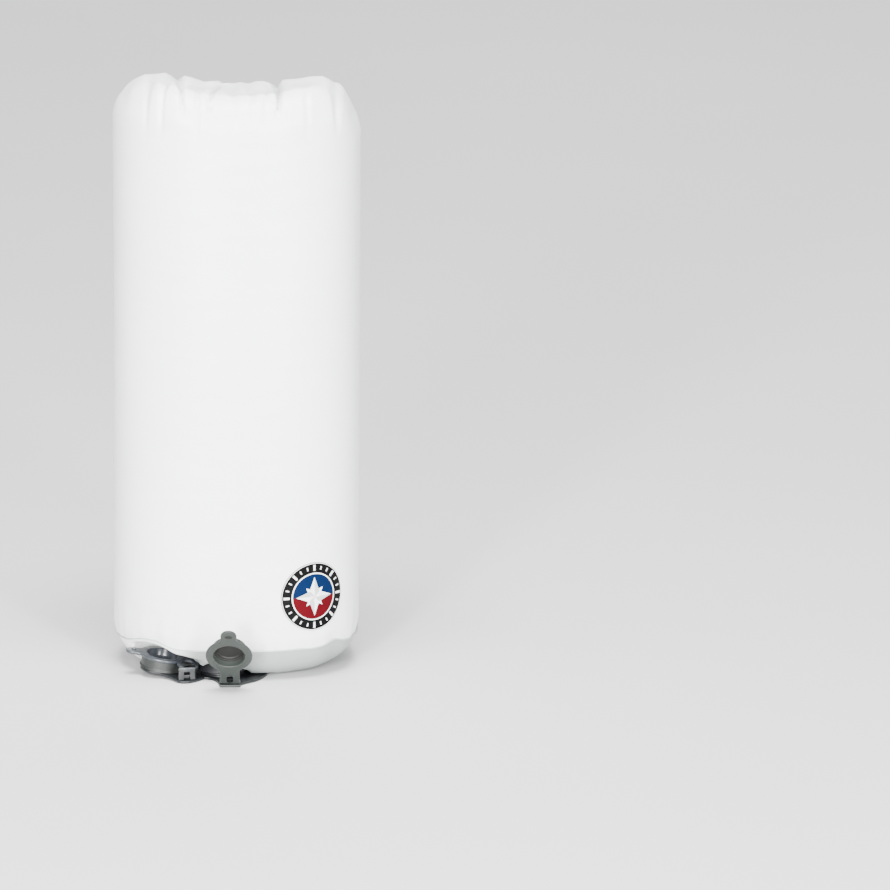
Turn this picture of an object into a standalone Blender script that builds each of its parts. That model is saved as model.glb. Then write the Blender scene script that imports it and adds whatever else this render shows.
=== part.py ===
"""Inflation pump sack standing on its twin-port valve.

A white coated-nylon sack is held full of air.  A nozzle low in its base is plugged
into one port of a moulded twin-port valve, whose cap hangs open on its strap; the
other port is closed by its own cap.  The sack's mouth is rolled up, laid down the
back and clipped to itself.  Pressing the top of the sack down pumps the air out
through the nozzle and past the valve's one-way flap.

Frame: metres, +Z up, -Y to the front.  The origin is on the resting plane, under the
sack's axis.
"""
import math

import bmesh
import bpy
from mathutils import Euler, Matrix, Vector

MM = 0.001
GAP = 0.3 * MM

# Sack: an upright tube of oval section, rounded over at both ends
HALF_WIDTH = 105.0 * MM
HALF_DEPTH = 88.0 * MM
OVAL_POWER = 2.4
CORNER = 39.0 * MM
FLAT_SHARE = 1 - CORNER / HALF_WIDTH
SEAM_Z = 27.0 * MM
TOP_Z = 503.0 * MM
TOP_FLAT_SHARE = 0.74
TOP_ROLL = 30.0 * MM
LEFT_SHOULDER = 8.0 * MM
RIGHT_SHOULDER = 5.0 * MM
SHOULDER_X = 62.0 * MM
SHOULDER_SPREAD = 26.0 * MM
BACK_SLOPE_START = -10.0 * MM
BACK_SLOPE = 7.8
RIGHT_CHAMFER = 13.0 * MM
FABRIC = 1.0 * MM
SACK_SEGMENTS = 48

# The base is pushed up where it stands over the closed cap, more so towards the front
DENT_TOP = 23.8 * MM
FRONT_LIFT = 5.5 * MM

# Valve: a soft plate on the ground with two round ports
PLATE = 2.0 * MM
PORT_A = Vector((-12.0, -61.0, 0.0)) * MM
PORT_B_TILT = math.radians(9)
PORT_B_LEAN = math.radians(3.5)
PLATE_BEND_X = -46.5 * MM
PORT_B = Vector((-65.3, -57.0, 4.1)) * MM
PORT_B_TURN = (PORT_B_LEAN, PORT_B_TILT, 0)
COLLAR_TOP = 11.4 * MM
COLLAR_R = 17.3 * MM
BORE_R = 16.0 * MM
PLATE_HOLE_R = 13.8 * MM
ROUND_SEGMENTS = 32

# Caps: a flange with a grip tab and a strap, and a hollow plug below it
FLANGE_R = 19.8 * MM
FLANGE = 2.2 * MM
PLUG_R = 14.8 * MM
PLUG_DEPTH = 7.4 * MM
SEAL_PROUD = 0.15 * MM
SEAL_THICK = 0.6 * MM
RECESS_R = 13.2 * MM
TAB_HALF = 6.8 * MM
TAB_END = 25.2 * MM
STRAP_HALF = 8.4 * MM
STRAP_REACH = 35.4 * MM
FILLET = 4.0 * MM
SLOT_HALF = 2.7 * MM
SLOT_ENDS = (1.4 * MM, 10.8 * MM)
CAP_A_HINGE = Vector((-5.9, -101.6, 3.5)) * MM
CAP_A_OPEN = math.radians(125)
CAP_A_TURN = math.radians(-2.0)
CAP_B_HINGE = Vector((-42.5, -86.6, 4.6)) * MM
CAP_B_LEG_TURN = math.radians(14)
CAP_B_TAB_TURN = math.radians(92)
LOOP_CENTRE = Vector((22.0, -14.0, 0.0)) * MM
LOOP_HALF = (9.5 * MM, 16.5 * MM)
WINDOW_CENTRE = Vector((22.6, -18.0, 0.0)) * MM
WINDOW_HALF = (6.3 * MM, 11.6 * MM)

# Nozzle: a stub that fills port A, below a skirted flange welded under the sack's base
NOZZLE_R = 14.6 * MM
NOZZLE_BORE_R = 11.6 * MM
NOZZLE_TIP_Z = 4.4 * MM
NOZZLE_FLANGE_R = 18.2 * MM
NOZZLE_FLANGE = 1.6 * MM
SKIRT_R = 22.2 * MM
SKIRT_Z = 7.0 * MM
BASE_OVER_NOZZLE = COLLAR_TOP + NOZZLE_FLANGE + 2 * GAP
NOZZLE_END_Z = BASE_OVER_NOZZLE + 6.0 * MM

# Rolled mouth: centre line of its right half, from the middle to the end
ROLL_ROUTE = [
    (0, 70, 473), (18, 70, 473), (37, 72.5, 470), (54, 79, 456), (63, 87, 431),
    (57, 94, 406), (42, 98.5, 389.5), (25, 101, 384),
]
ROLL_CORE_HALF = 8.8 * MM
ROLL_CORE_RISE = 1.8 * MM
ROLL_PITCH = 2.3 * MM
ROLL_TURNS = 2.25
STIFFENER_HALF = 7.4 * MM
STIFFENER = 1.2 * MM

# Side-release buckle on the back, joining the two ends of the roll
BUCKLE = Vector((0.0, 115.2, 384.0)) * MM
BUCKLE_HALF_HEIGHT = 12.5 * MM
BUCKLE_HALF_DEPTH = 4.2 * MM
SOCKET_X = (-17.0 * MM, 8.0 * MM)
PLUG_BASE_X = (SOCKET_X[1] + GAP, 20.0 * MM)
WEBBING_HALF = 9.5 * MM
WEBBING = 1.5 * MM
WEBBING_REACH = 48.0 * MM

BADGE_RADIUS = 28.6 * MM
BADGE_AT_X = 65.5 * MM
BADGE_Z = 74.0 * MM
BADGE = 0.4 * MM


# ---------------------------------------------------------------- shared helpers

def clear_scene():
    for thing in list(bpy.data.objects):
        bpy.data.objects.remove(thing, do_unlink=True)


def make_material(name, colour, roughness, metallic=0.0):
    material = bpy.data.materials.new(name)
    material.use_nodes = True
    shader = material.node_tree.nodes["Principled BSDF"]
    shader.inputs["Base Color"].default_value = (*colour, 1.0)
    shader.inputs["Roughness"].default_value = roughness
    shader.inputs["Metallic"].default_value = metallic
    return material


def smoothstep(low, high, value):
    share = min(max((value - low) / (high - low), 0.0), 1.0)
    return share * share * (3 - 2 * share)


def add_part(name, bm, look=None, parent=None, location=(0, 0, 0), rotation=(0, 0, 0)):
    """Turn a bmesh into a named object with outward faces; no look makes it a cutter."""
    bmesh.ops.recalc_face_normals(bm, faces=bm.faces)
    mesh = bpy.data.meshes.new(name)
    bm.to_mesh(mesh)
    bm.free()
    part = bpy.data.objects.new(name, mesh)
    bpy.context.collection.objects.link(part)
    part.parent = parent
    part.location = location
    part.rotation_euler = rotation
    if look is None:
        part.hide_render = True
        part.display_type = "WIRE"
        return part
    mesh.materials.append(make_material(name, *look))
    mesh.shade_smooth()
    mesh.set_sharp_from_angle(angle=math.radians(35))
    return part


def add_frame(name, location, rotation=(0, 0, 0)):
    frame = bpy.data.objects.new(name, None)
    bpy.context.collection.objects.link(frame)
    frame.location = location
    frame.rotation_euler = rotation
    return frame


def boolean(part, other, operation):
    step = part.modifiers.new(f"{operation} {other.name}", "BOOLEAN")
    step.operation = operation
    step.solver = "EXACT"
    step.object = other


def solidify(part, thickness):
    """Thicken a sheet to the side its faces point away from."""
    step = part.modifiers.new("thickness", "SOLIDIFY")
    step.thickness = thickness
    step.offset = -1.0
    step.use_rim = True


def bevel(part, width, segments=2):
    step = part.modifiers.new("soft edges", "BEVEL")
    step.width = width
    step.segments = segments
    step.limit_method = "ANGLE"
    step.angle_limit = math.radians(50)


def turned(profile, segments=ROUND_SEGMENTS):
    """Revolve a closed (radius, height) outline about Z; a radius of 0 is on the axis."""
    bm = bmesh.new()
    rings = []
    for radius, height in profile:
        if radius == 0:
            rings.append([bm.verts.new((0, 0, height))] * segments)
            continue
        turn = [2 * math.pi * k / segments for k in range(segments)]
        rings.append([
            bm.verts.new((radius * math.cos(a), radius * math.sin(a), height)) for a in turn
        ])
    for ring, following in zip(rings, rings[1:] + rings[:1]):
        for k in range(segments):
            after = (k + 1) % segments
            corners = [ring[k], ring[after], following[after], following[k]]
            distinct = list(dict.fromkeys(corners))
            if len(distinct) > 2:
                bm.faces.new(distinct)
    return bm


def extruded(outline, low, high):
    """Extrude a closed flat outline of (x, y) points from height low to height high."""
    bm = bmesh.new()
    bottom = [bm.verts.new((x, y, low)) for x, y in outline]
    top = [bm.verts.new((x, y, high)) for x, y in outline]
    bm.faces.new(bottom)
    bm.faces.new(top)
    for k in range(len(outline)):
        after = (k + 1) % len(outline)
        bm.faces.new((bottom[k], bottom[after], top[after], top[k]))
    return bm


def block(low, high):
    outline = [(low[0], low[1]), (high[0], low[1]), (high[0], high[1]), (low[0], high[1])]
    return extruded(outline, low[2], high[2])


def arc(centre, radius, start, end, steps):
    """Points on an arc, with angles in degrees."""
    angles = [math.radians(start + (end - start) * k / steps) for k in range(steps + 1)]
    return [(centre[0] + radius * math.cos(a), centre[1] + radius * math.sin(a)) for a in angles]


def swept(section, stations):
    """Skin a closed (across, out) section along stations of (place, across axis, out axis)."""
    bm = bmesh.new()
    rings = []
    for place, across, out in stations:
        rings.append([bm.verts.new(place + across * u + out * v) for u, v in section])
    for ring, following in zip(rings, rings[1:]):
        for k in range(len(ring)):
            after = (k + 1) % len(ring)
            bm.faces.new((ring[k], ring[after], following[after], following[k]))
    bm.faces.new(rings[0])
    bm.faces.new(rings[-1])
    return bm


def smooth_route(points, steps):
    """A Catmull-Rom curve through the points."""
    ends = [2 * points[0] - points[1]] + points + [2 * points[-1] - points[-2]]
    route = []
    for before, start, end, after in zip(ends, ends[1:], ends[2:], ends[3:]):
        for k in range(steps):
            t = k / steps
            route.append(0.5 * (
                2 * start + (end - before) * t
                + (2 * before - 5 * start + 4 * end - after) * t ** 2
                + (3 * start - before - 3 * end + after) * t ** 3
            ))
    return route + [points[-1]]


# ---------------------------------------------------------------- shape of the sack

def oval(angle, share=1.0):
    """Point of the sack's oval section, scaled towards the axis by share."""
    power = 2 / OVAL_POWER
    x = math.copysign(abs(math.cos(angle)) ** power, math.cos(angle))
    y = math.copysign(abs(math.sin(angle)) ** power, math.sin(angle))
    return share * HALF_WIDTH * x, share * HALF_DEPTH * y


def oval_share(x, y):
    """Share of the oval section on which a point lies: 1 on the wall, 0 on the axis."""
    return (abs(x / HALF_WIDTH) ** OVAL_POWER + abs(y / HALF_DEPTH) ** OVAL_POWER) ** (1 / OVAL_POWER)


def corner_rise(share, flat_share=FLAT_SHARE, rise=CORNER):
    """How far a rounded end has turned away from its flat middle."""
    if share <= flat_share:
        return 0.0
    along = min((share - flat_share) / (1 - flat_share), 1.0)
    return rise * (1 - math.sqrt(1 - along ** 2))


def distance_to_line(x, y, start, end):
    line = Vector((end[0] - start[0], end[1] - start[1]))
    point = Vector((x - start[0], y - start[1]))
    share = min(max(point.dot(line) / line.length_squared, 0.0), 1.0)
    return (point - line * share).length


def nozzle_dent(x, y):
    """Height of the base over the nozzle: flat over its flange, then down along its skirt."""
    radius = math.hypot(x - PORT_A.x, y - PORT_A.y)
    flat = NOZZLE_FLANGE_R + 0.4 * MM
    foot = SKIRT_R + 0.7 * MM
    foot_height = SKIRT_Z + 1.3 * MM
    along = min(max((radius - flat) / (foot - flat), 0.0), 1.0)
    height = BASE_OVER_NOZZLE + along * (foot_height - BASE_OVER_NOZZLE)
    return height * (1 - smoothstep(foot, foot + 5 * MM, radius))


def cap_dent(x, y):
    """Height of the base over the closed cap, its tab and the loop of its strap."""
    port = (PORT_B.x, PORT_B.y)
    tab_tip = (PORT_B.x - TAB_END, PORT_B.y)
    loop_top = (PORT_B.x + LOOP_CENTRE.x, PORT_B.y)
    loop_foot = (PORT_B.x + LOOP_CENTRE.x, PORT_B.y - 27 * MM)
    beyond = min(
        distance_to_line(x, y, port, loop_top) - FLANGE_R,
        distance_to_line(x, y, port, tab_tip) - TAB_HALF,
        distance_to_line(x, y, loop_top, loop_foot) - LOOP_HALF[0],
    )
    height = PORT_B.z + COLLAR_TOP + FLANGE + 2.4 * MM
    height += math.tan(PORT_B_TILT) * (PORT_B.x - x) + math.tan(PORT_B_LEAN) * (y - PORT_B.y)
    return min(height, DENT_TOP) * (1 - smoothstep(2 * MM, 16 * MM, beyond))


def front_dent(x, y):
    """Height of the base between the front wall and the closed cap."""
    height = DENT_TOP - 0.2 * max(x + 66 * MM, 0.0)
    height *= 1 - smoothstep(-26 * MM, -12 * MM, x)
    height *= smoothstep(0.5 * MM, 4 * MM, math.hypot(x - PORT_A.x, y - PORT_A.y) - SKIRT_R)
    return height * (1 - smoothstep(-52 * MM, -28 * MM, y))


def lifted(x, y, z):
    """A point of the sack, raised where its front left corner stands over the closed cap."""
    across = smoothstep(-103 * MM, -76 * MM, x) * (1 - smoothstep(-72 * MM, -50 * MM, x))
    forward = 1 - smoothstep(-60 * MM, -30 * MM, y)
    low = 1 - smoothstep(SEAM_Z + 1 * MM, 80 * MM, z)
    return x, y, z + FRONT_LIFT * across * forward * low


def plate_dent(x, y):
    """Height of the base over the valve's plate."""
    beyond = distance_to_line(x, y, (0, PORT_A.y), (PORT_B.x, PORT_B.y)) - 28 * MM
    height = PLATE + 1.4 * MM + max(PLATE_BEND_X - x, 0.0) * math.tan(PORT_B_TILT)
    return height * (1 - smoothstep(1 * MM, 9 * MM, beyond))


def base_height(x, y):
    dents = (nozzle_dent(x, y), cap_dent(x, y), front_dent(x, y), plate_dent(x, y))
    return max(corner_rise(oval_share(x, y)), *dents)


def top_height(x, y):
    left = LEFT_SHOULDER * math.exp(-(((x + SHOULDER_X) / SHOULDER_SPREAD) ** 2))
    right = RIGHT_SHOULDER * math.exp(-(((x - SHOULDER_X) / SHOULDER_SPREAD) ** 2))
    slope = BACK_SLOPE * max(y - BACK_SLOPE_START, 0.0) ** 2
    slope += RIGHT_CHAMFER * smoothstep(0.8, 1.0, x / HALF_WIDTH)
    return TOP_Z + left + right - slope - corner_rise(oval_share(x, y), TOP_FLAT_SHARE, TOP_ROLL)


# ---------------------------------------------------------------- sack

def sheet_of_rings(rings):
    """A skin through closed rings of points; a ring of one point closes the skin."""
    bm = bmesh.new()
    made = [[bm.verts.new(point) for point in ring] for ring in rings]
    for ring, following in zip(made, made[1:]):
        for k in range(len(ring)):
            after = (k + 1) % len(ring)
            if len(following) == 1:
                bm.faces.new((ring[k], ring[after], following[0]))
            else:
                bm.faces.new((ring[k], ring[after], following[after], following[k]))
    return bm


def add_sack_wall(look):
    angles = [2 * math.pi * k / SACK_SEGMENTS for k in range(SACK_SEGMENTS)]
    rings = []
    for share in (0.0, 0.35, 0.7):
        height = SEAM_Z + GAP + share * (CORNER - SEAM_Z)
        reach = CORNER - height
        scale = FLAT_SHARE + math.sqrt(CORNER ** 2 - reach ** 2) / HALF_WIDTH
        rings.append([lifted(*oval(a, scale), height) for a in angles])
    for share in (0.0, 0.04, 0.09, 0.33, 0.67, 1.0):
        ring = []
        for a in angles:
            x, y = oval(a)
            ring.append(lifted(x, y, CORNER + share * (top_height(x, y) - CORNER)))
        rings.append(ring)
    turns = [math.radians(d) for d in (15, 30, 45, 60, 75, 90)]
    scales = [TOP_FLAT_SHARE + (1 - TOP_FLAT_SHARE) * math.cos(t) for t in turns] + [0.5, 0.25]
    for scale in scales:
        ring = []
        for a in angles:
            x, y = oval(a, scale)
            ring.append((x, y, top_height(x, y)))
        rings.append(ring)
    rings.append([(0, 0, top_height(0, 0))])
    wall = add_part("sack_wall", sheet_of_rings(rings), look)
    solidify(wall, FABRIC)


def add_base_panel(look):
    """The base, from the hole round the nozzle out to the seam with the wall."""
    rows = 13
    angles = [2 * math.pi * k / SACK_SEGMENTS for k in range(SACK_SEGMENTS)]
    seam_share = FLAT_SHARE + math.sqrt(CORNER ** 2 - (CORNER - SEAM_Z) ** 2) / HALF_WIDTH
    hole = NOZZLE_R + 1.2 * MM
    shoulder = SKIRT_R + 0.7 * MM
    rings = []
    for radius in (hole, NOZZLE_FLANGE_R + 0.4 * MM):
        ring = []
        for a in angles:
            x = PORT_A.x + radius * math.cos(a)
            y = PORT_A.y + radius * math.sin(a)
            ring.append(lifted(x, y, base_height(x, y)))
        rings.append(ring)
    for row in range(rows):
        share = 1 - (1 - row / (rows - 1)) ** 1.5
        ring = []
        for a in angles:
            far_x, far_y = oval(a, seam_share)
            near_x = PORT_A.x + shoulder * math.cos(a)
            near_y = PORT_A.y + shoulder * math.sin(a)
            x = near_x + share * (far_x - near_x)
            y = near_y + share * (far_y - near_y)
            ring.append(lifted(x, y, base_height(x, y)))
        rings.append(ring)
    bm = sheet_of_rings(rings)
    panel = add_part("base_panel", bm, look)
    for polygon in panel.data.polygons:
        if polygon.normal.z > 0:
            panel.data.flip_normals()
        break
    solidify(panel, FABRIC)


def add_base_seam_tape(look):
    """Tape over the inside of the seam between the base and the wall."""
    inset = FABRIC + 4 * GAP
    profile = []
    for offset, order in ((inset, 1), (inset + 0.6 * MM, -1)):
        for degrees in (21, 16, 11)[::order]:
            t = math.radians(degrees)
            reach = CORNER - offset
            profile.append((FLAT_SHARE * HALF_WIDTH + reach * math.cos(t), CORNER - reach * math.sin(t)))
    bm = bmesh.new()
    angles = [2 * math.pi * k / SACK_SEGMENTS for k in range(SACK_SEGMENTS)]
    rings = []
    for radius, height in profile:
        ring = [lifted(*oval(a, radius / HALF_WIDTH), height) for a in angles]
        rings.append([bm.verts.new(point) for point in ring])
    for ring, following in zip(rings, rings[1:] + rings[:1]):
        for k in range(SACK_SEGMENTS):
            after = (k + 1) % SACK_SEGMENTS
            bm.faces.new((ring[k], ring[after], following[after], following[k]))
    add_part("base_seam_tape", bm, look)


def add_side_seam_tape(look):
    """Tape over the inside of the wall's one upright seam, at the middle of the back."""
    back = HALF_DEPTH - FABRIC - 0.5 * MM
    low = (-6 * MM, back - 0.6 * MM, CORNER + 4 * MM)
    high = (6 * MM, back, 340 * MM)
    add_part("side_seam_tape", block(low, high), look)


def add_badge(look):
    """A round cloth badge that follows the wall."""
    middle = math.asin((BADGE_AT_X / HALF_WIDTH) ** (OVAL_POWER / 2))
    place = Vector((*oval(middle - math.pi / 2), BADGE_Z))
    ahead = Vector((*oval(middle - math.pi / 2 + 0.01), BADGE_Z))
    across = (ahead - place).normalized()
    out = across.cross(Vector((0, 0, 1)))
    bm = bmesh.new()
    rings = []
    for share in (0.25, 0.5, 0.75, 1.0):
        ring = []
        for k in range(36):
            turn = 2 * math.pi * k / 36
            flat = place + across * (share * BADGE_RADIUS * math.cos(turn))
            angle = math.atan2(flat.y, flat.x)
            for _ in range(30):
                x, y = oval(angle)
                angle += 0.5 * (Vector((flat.x - x, flat.y - y)).dot(across.xy)) / HALF_WIDTH
            lift = Vector((*oval(angle), BADGE_Z + share * BADGE_RADIUS * math.sin(turn)))
            ring.append(bm.verts.new(lift + out * (GAP + BADGE)))
        rings.append(ring)
    centre = bm.verts.new(place + out * (GAP + BADGE))
    for ring, following in zip(rings, rings[1:]):
        for k in range(36):
            after = (k + 1) % 36
            bm.faces.new((ring[k], ring[after], following[after], following[k]))
    for k in range(36):
        bm.faces.new((centre, rings[0][k], rings[0][(k + 1) % 36]))
    badge = add_part("badge_patch", bm, look)
    if badge.data.polygons[0].normal.dot(out) < 0:
        badge.data.flip_normals()
    solidify(badge, BADGE)


def add_nozzle(nozzle_look, seal_look):
    """Nozzle with the flange below the base, the ring inside the sack, and its O-ring."""
    under = COLLAR_TOP + GAP
    over = under + NOZZLE_FLANGE
    groove = (7.4 * MM, 9.4 * MM)
    outline = [
        (NOZZLE_BORE_R, NOZZLE_TIP_Z), (NOZZLE_R - 0.8 * MM, NOZZLE_TIP_Z),
        (NOZZLE_R, NOZZLE_TIP_Z + 0.8 * MM), (NOZZLE_R, groove[0]),
        (NOZZLE_R - 0.7 * MM, groove[0]), (NOZZLE_R - 0.7 * MM, groove[1]),
        (NOZZLE_R, groove[1]), (NOZZLE_R, under), (COLLAR_R + 0.5 * MM, under),
        (SKIRT_R - 0.5 * MM, SKIRT_Z - 0.6 * MM), (SKIRT_R, SKIRT_Z + 0.4 * MM),
        (NOZZLE_FLANGE_R, over), (NOZZLE_R, over), (NOZZLE_R, NOZZLE_END_Z),
        (NOZZLE_BORE_R, NOZZLE_END_Z),
    ]
    place = (PORT_A.x, PORT_A.y, 0)
    add_part("outlet_nozzle", turned(outline), nozzle_look, location=place)
    middle = (groove[0] + groove[1]) / 2
    add_part("nozzle_seal", turned(ring_section(NOZZLE_R + 0.4 * MM, middle, 0.7 * MM)), seal_look,
             location=place)
    inner = BASE_OVER_NOZZLE + FABRIC + 3.0 * MM
    ring = [
        (NOZZLE_R + GAP, inner), (NOZZLE_FLANGE_R, inner),
        (NOZZLE_FLANGE_R, inner + 1.4 * MM), (NOZZLE_R + GAP, inner + 1.4 * MM),
    ]
    add_part("nozzle_backing_ring", turned(ring), nozzle_look, location=place)


def ring_section(radius, height, thickness_radius):
    """Round cross-section of a seal."""
    return [(r, z) for r, z in arc((radius, height), thickness_radius, 0, 300, 5)]


# ---------------------------------------------------------------- rolled mouth

def roll_stations():
    """Places along the roll, with its wide axis on the sack's skin and its thin axis out."""
    right = [Vector(point) * MM for point in ROLL_ROUTE]
    left = [Vector((-p.x, p.y, p.z)) for p in reversed(right[1:])]
    route = left + right
    stations = []
    for k, place in enumerate(route):
        ahead = route[min(k + 1, len(route) - 1)]
        behind = route[max(k - 1, 0)]
        along = (ahead - behind).normalized()
        out = Vector((place.x * 0.6, place.y, 0.75 * max(place.z - 0.395, 0.0)))
        out = (out - along * out.dot(along)).normalized()
        stations.append((place, along.cross(out), out))
    return stations


def rolled_section():
    """The mouth's fabric wound flat round its stiffener, as a closed outline."""
    per_turn = 12
    steps = int(ROLL_TURNS * per_turn)
    half = FABRIC / 2

    def side(offset):
        points = []
        for k in range(steps + 1):
            turn = 2 * math.pi * k / per_turn
            grown = ROLL_PITCH * k / per_turn + offset
            points.append((
                (ROLL_CORE_HALF + grown) * math.cos(turn),
                (ROLL_CORE_RISE + grown) * math.sin(turn),
            ))
        return points

    return side(half) + side(-half)[::-1]


def add_rolled_mouth(fabric_look, stiffener_look):
    stations = roll_stations()
    add_part("rolled_mouth", swept(rolled_section(), stations), fabric_look)
    half = STIFFENER / 2
    strip = [(-STIFFENER_HALF, -half), (STIFFENER_HALF, -half), (STIFFENER_HALF, half),
             (-STIFFENER_HALF, half)]
    add_part("mouth_stiffener", swept(strip, stations), stiffener_look)


def add_buckle(look, webbing_look):
    """Both halves of the buckle and their webbing, about the buckle's own centre."""
    high, deep = BUCKLE_HALF_HEIGHT, BUCKLE_HALF_DEPTH
    socket_bm = block((SOCKET_X[0], -deep, -high), (SOCKET_X[1], deep, high))
    socket = add_part("buckle_socket", socket_bm, look, location=BUCKLE)
    bevel(socket, 1.2 * MM)
    cavity = (9.6 * MM, 2.7 * MM)
    hollow_bm = block((SOCKET_X[0] + 6 * MM, -cavity[1], -cavity[0]),
                      (SOCKET_X[1] + 2 * MM, cavity[1], cavity[0]))
    boolean(socket, add_part("buckle_cavity_cutter", hollow_bm, location=BUCKLE), "DIFFERENCE")
    window_bm = block((-8 * MM, -cavity[1], -high - 2 * MM), (3 * MM, cavity[1], high + 2 * MM))
    boolean(socket, add_part("buckle_window_cutter", window_bm, location=BUCKLE), "DIFFERENCE")
    bar_bm = block((SOCKET_X[0] + 2 * MM, -deep - 1 * MM, -WEBBING_HALF - 0.8 * MM),
                   (SOCKET_X[0] + 4.5 * MM, deep + 1 * MM, WEBBING_HALF + 0.8 * MM))
    boolean(socket, add_part("socket_slot_cutter", bar_bm, location=BUCKLE), "DIFFERENCE")

    base_bm = block((PLUG_BASE_X[0], -deep, -high), (PLUG_BASE_X[1], deep, high))
    plug = add_part("buckle_plug", base_bm, look, location=BUCKLE)
    bevel(plug, 1.2 * MM)
    reach = (SOCKET_X[0] + 9 * MM, PLUG_BASE_X[0] + 2 * MM)
    for name, low, top in (("lower_prong", -9.2, -5.8), ("guide", -1.6, 1.6), ("upper_prong", 5.8, 9.2)):
        arm_bm = block((reach[0], -2.3 * MM, low * MM), (reach[1], 2.3 * MM, top * MM))
        boolean(plug, add_part(f"{name}_shape", arm_bm, location=BUCKLE), "UNION")
    slot_bm = block((PLUG_BASE_X[1] - 5 * MM, -deep - 1 * MM, -WEBBING_HALF - 0.8 * MM),
                    (PLUG_BASE_X[1] - 2.5 * MM, deep + 1 * MM, WEBBING_HALF + 0.8 * MM))
    boolean(plug, add_part("plug_slot_cutter", slot_bm, location=BUCKLE), "DIFFERENCE")

    outer = BUCKLE_HALF_DEPTH + GAP
    sides = (("left_strap", -1, -SOCKET_X[0] - 5 * MM), ("right_strap", 1, PLUG_BASE_X[1] - 6 * MM))
    for name, side, start in sides:
        ends = sorted((side * start, side * WEBBING_REACH))
        bm = block((ends[0], -outer - WEBBING, -WEBBING_HALF), (ends[1], -outer, WEBBING_HALF))
        add_part(name, bm, webbing_look, location=BUCKLE)


# ---------------------------------------------------------------- valve

def bend_to_plate(x, z):
    """Lift what lies left of the bend so that the plate follows the tilted port."""
    run = PLATE_BEND_X - x
    if run <= 0:
        return x, z
    across = run - z * math.sin(PORT_B_TILT)
    return PLATE_BEND_X - across * math.cos(PORT_B_TILT), z + run * math.sin(PORT_B_TILT)


def add_plate(look):
    """Soft plate with a lobe at the root of each strap, bent up a little under port B."""
    outline = [(-27.5, -76.5), (-21.5, -79), (-17, -88), (-15.2, -97)]
    outline += [(-14.6, -101.4), (-13.2, -102.7), (1.6, -102.7), (3.2, -101.2), (4.6, -96)]
    outline += [(17, -83.5), (23.5, -70), (26, -58), (22, -45)]
    outline += arc((PORT_A.x / MM, PORT_A.y / MM), 27, 70, 120, 4)
    outline += [(-36, -36)]
    outline += arc((PORT_B.x / MM, PORT_B.y / MM), 17.8, 60, 235, 10)
    outline += [(-66, -74.0), (-60, -77.5), (-53, -85)]
    outline += arc((-44.5, -81.5), 9.5, 215, 300, 5)
    outline += [(-33.5, -84.5)]
    smooth = smooth_route([Vector((x, y)) * MM for x, y in outline + outline[:1]], 3)[:-1]
    bm = extruded([tuple(point) for point in smooth], 0.0, PLATE)
    for face in list(bm.faces):
        if len(face.verts) > 4:
            bmesh.ops.triangulate(bm, faces=[face])
    bmesh.ops.bisect_plane(
        bm, geom=bm.verts[:] + bm.edges[:] + bm.faces[:],
        plane_co=(PLATE_BEND_X, 0, 0), plane_no=(1, 0, 0), dist=1e-7,
    )
    for vert in bm.verts:
        vert.co.x, vert.co.z = bend_to_plate(vert.co.x, vert.co.z)
    plate = add_part("valve_plate", bm, look)
    hole_a = turned([(0, -5 * MM), (PLATE_HOLE_R, -5 * MM), (PLATE_HOLE_R, 8 * MM), (0, 8 * MM)])
    hole_b = turned([(0, -5 * MM), (PLATE_HOLE_R, -5 * MM), (PLATE_HOLE_R, 8 * MM), (0, 8 * MM)])
    boolean(plate, add_part("plate_hole_a", hole_a, location=PORT_A), "DIFFERENCE")
    boolean(plate, add_part("plate_hole_b", hole_b, location=PORT_B, rotation=PORT_B_TURN), "DIFFERENCE")


def collar_outline():
    foot = PLATE + GAP
    return [
        (BORE_R, foot), (COLLAR_R + 0.9 * MM, foot), (COLLAR_R + 0.9 * MM, foot + 0.8 * MM),
        (COLLAR_R, foot + 1.8 * MM), (COLLAR_R, COLLAR_TOP - 0.5 * MM),
        (COLLAR_R - 0.5 * MM, COLLAR_TOP), (BORE_R + 0.4 * MM, COLLAR_TOP),
        (BORE_R, COLLAR_TOP - 0.4 * MM),
    ]


def add_ports(look):
    add_part("inflate_port", turned(collar_outline()), look, location=PORT_A)
    add_part("deflate_port", turned(collar_outline()), look, location=PORT_B, rotation=PORT_B_TURN)


def add_flap(seat_look, flap_look):
    """Spoked seat in the foot of port A and the soft flap that closes against it."""
    low, high = PLATE + GAP, NOZZLE_TIP_Z - GAP
    ring = turned([
        (BORE_R - 3.2 * MM, low), (BORE_R - GAP, low), (BORE_R - GAP, high),
        (BORE_R - 3.2 * MM, high),
    ])
    seat = add_part("flap_seat", ring, seat_look, location=PORT_A)
    reach = BORE_R - 2.0 * MM
    for k in range(3):
        spoke = block((0, -0.9 * MM, low + 0.1 * MM), (reach, 0.9 * MM, high - 0.1 * MM))
        turn = math.radians(90 + 120 * k)
        shape = add_part(f"seat_spoke_{k}", spoke, location=PORT_A, rotation=(0, 0, turn))
        boolean(seat, shape, "UNION")
    radius = PLATE_HOLE_R - 0.7 * MM
    hinge = PORT_A + Vector((0, radius - 0.6 * MM, PLATE / 2))
    half = 0.45 * MM
    outline = [(x, y - radius + 0.6 * MM) for x, y in arc((0, 0), radius, 105, 435, 30)]
    add_part("one_way_flap", extruded(outline, -half, half), flap_look, location=hinge)


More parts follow.
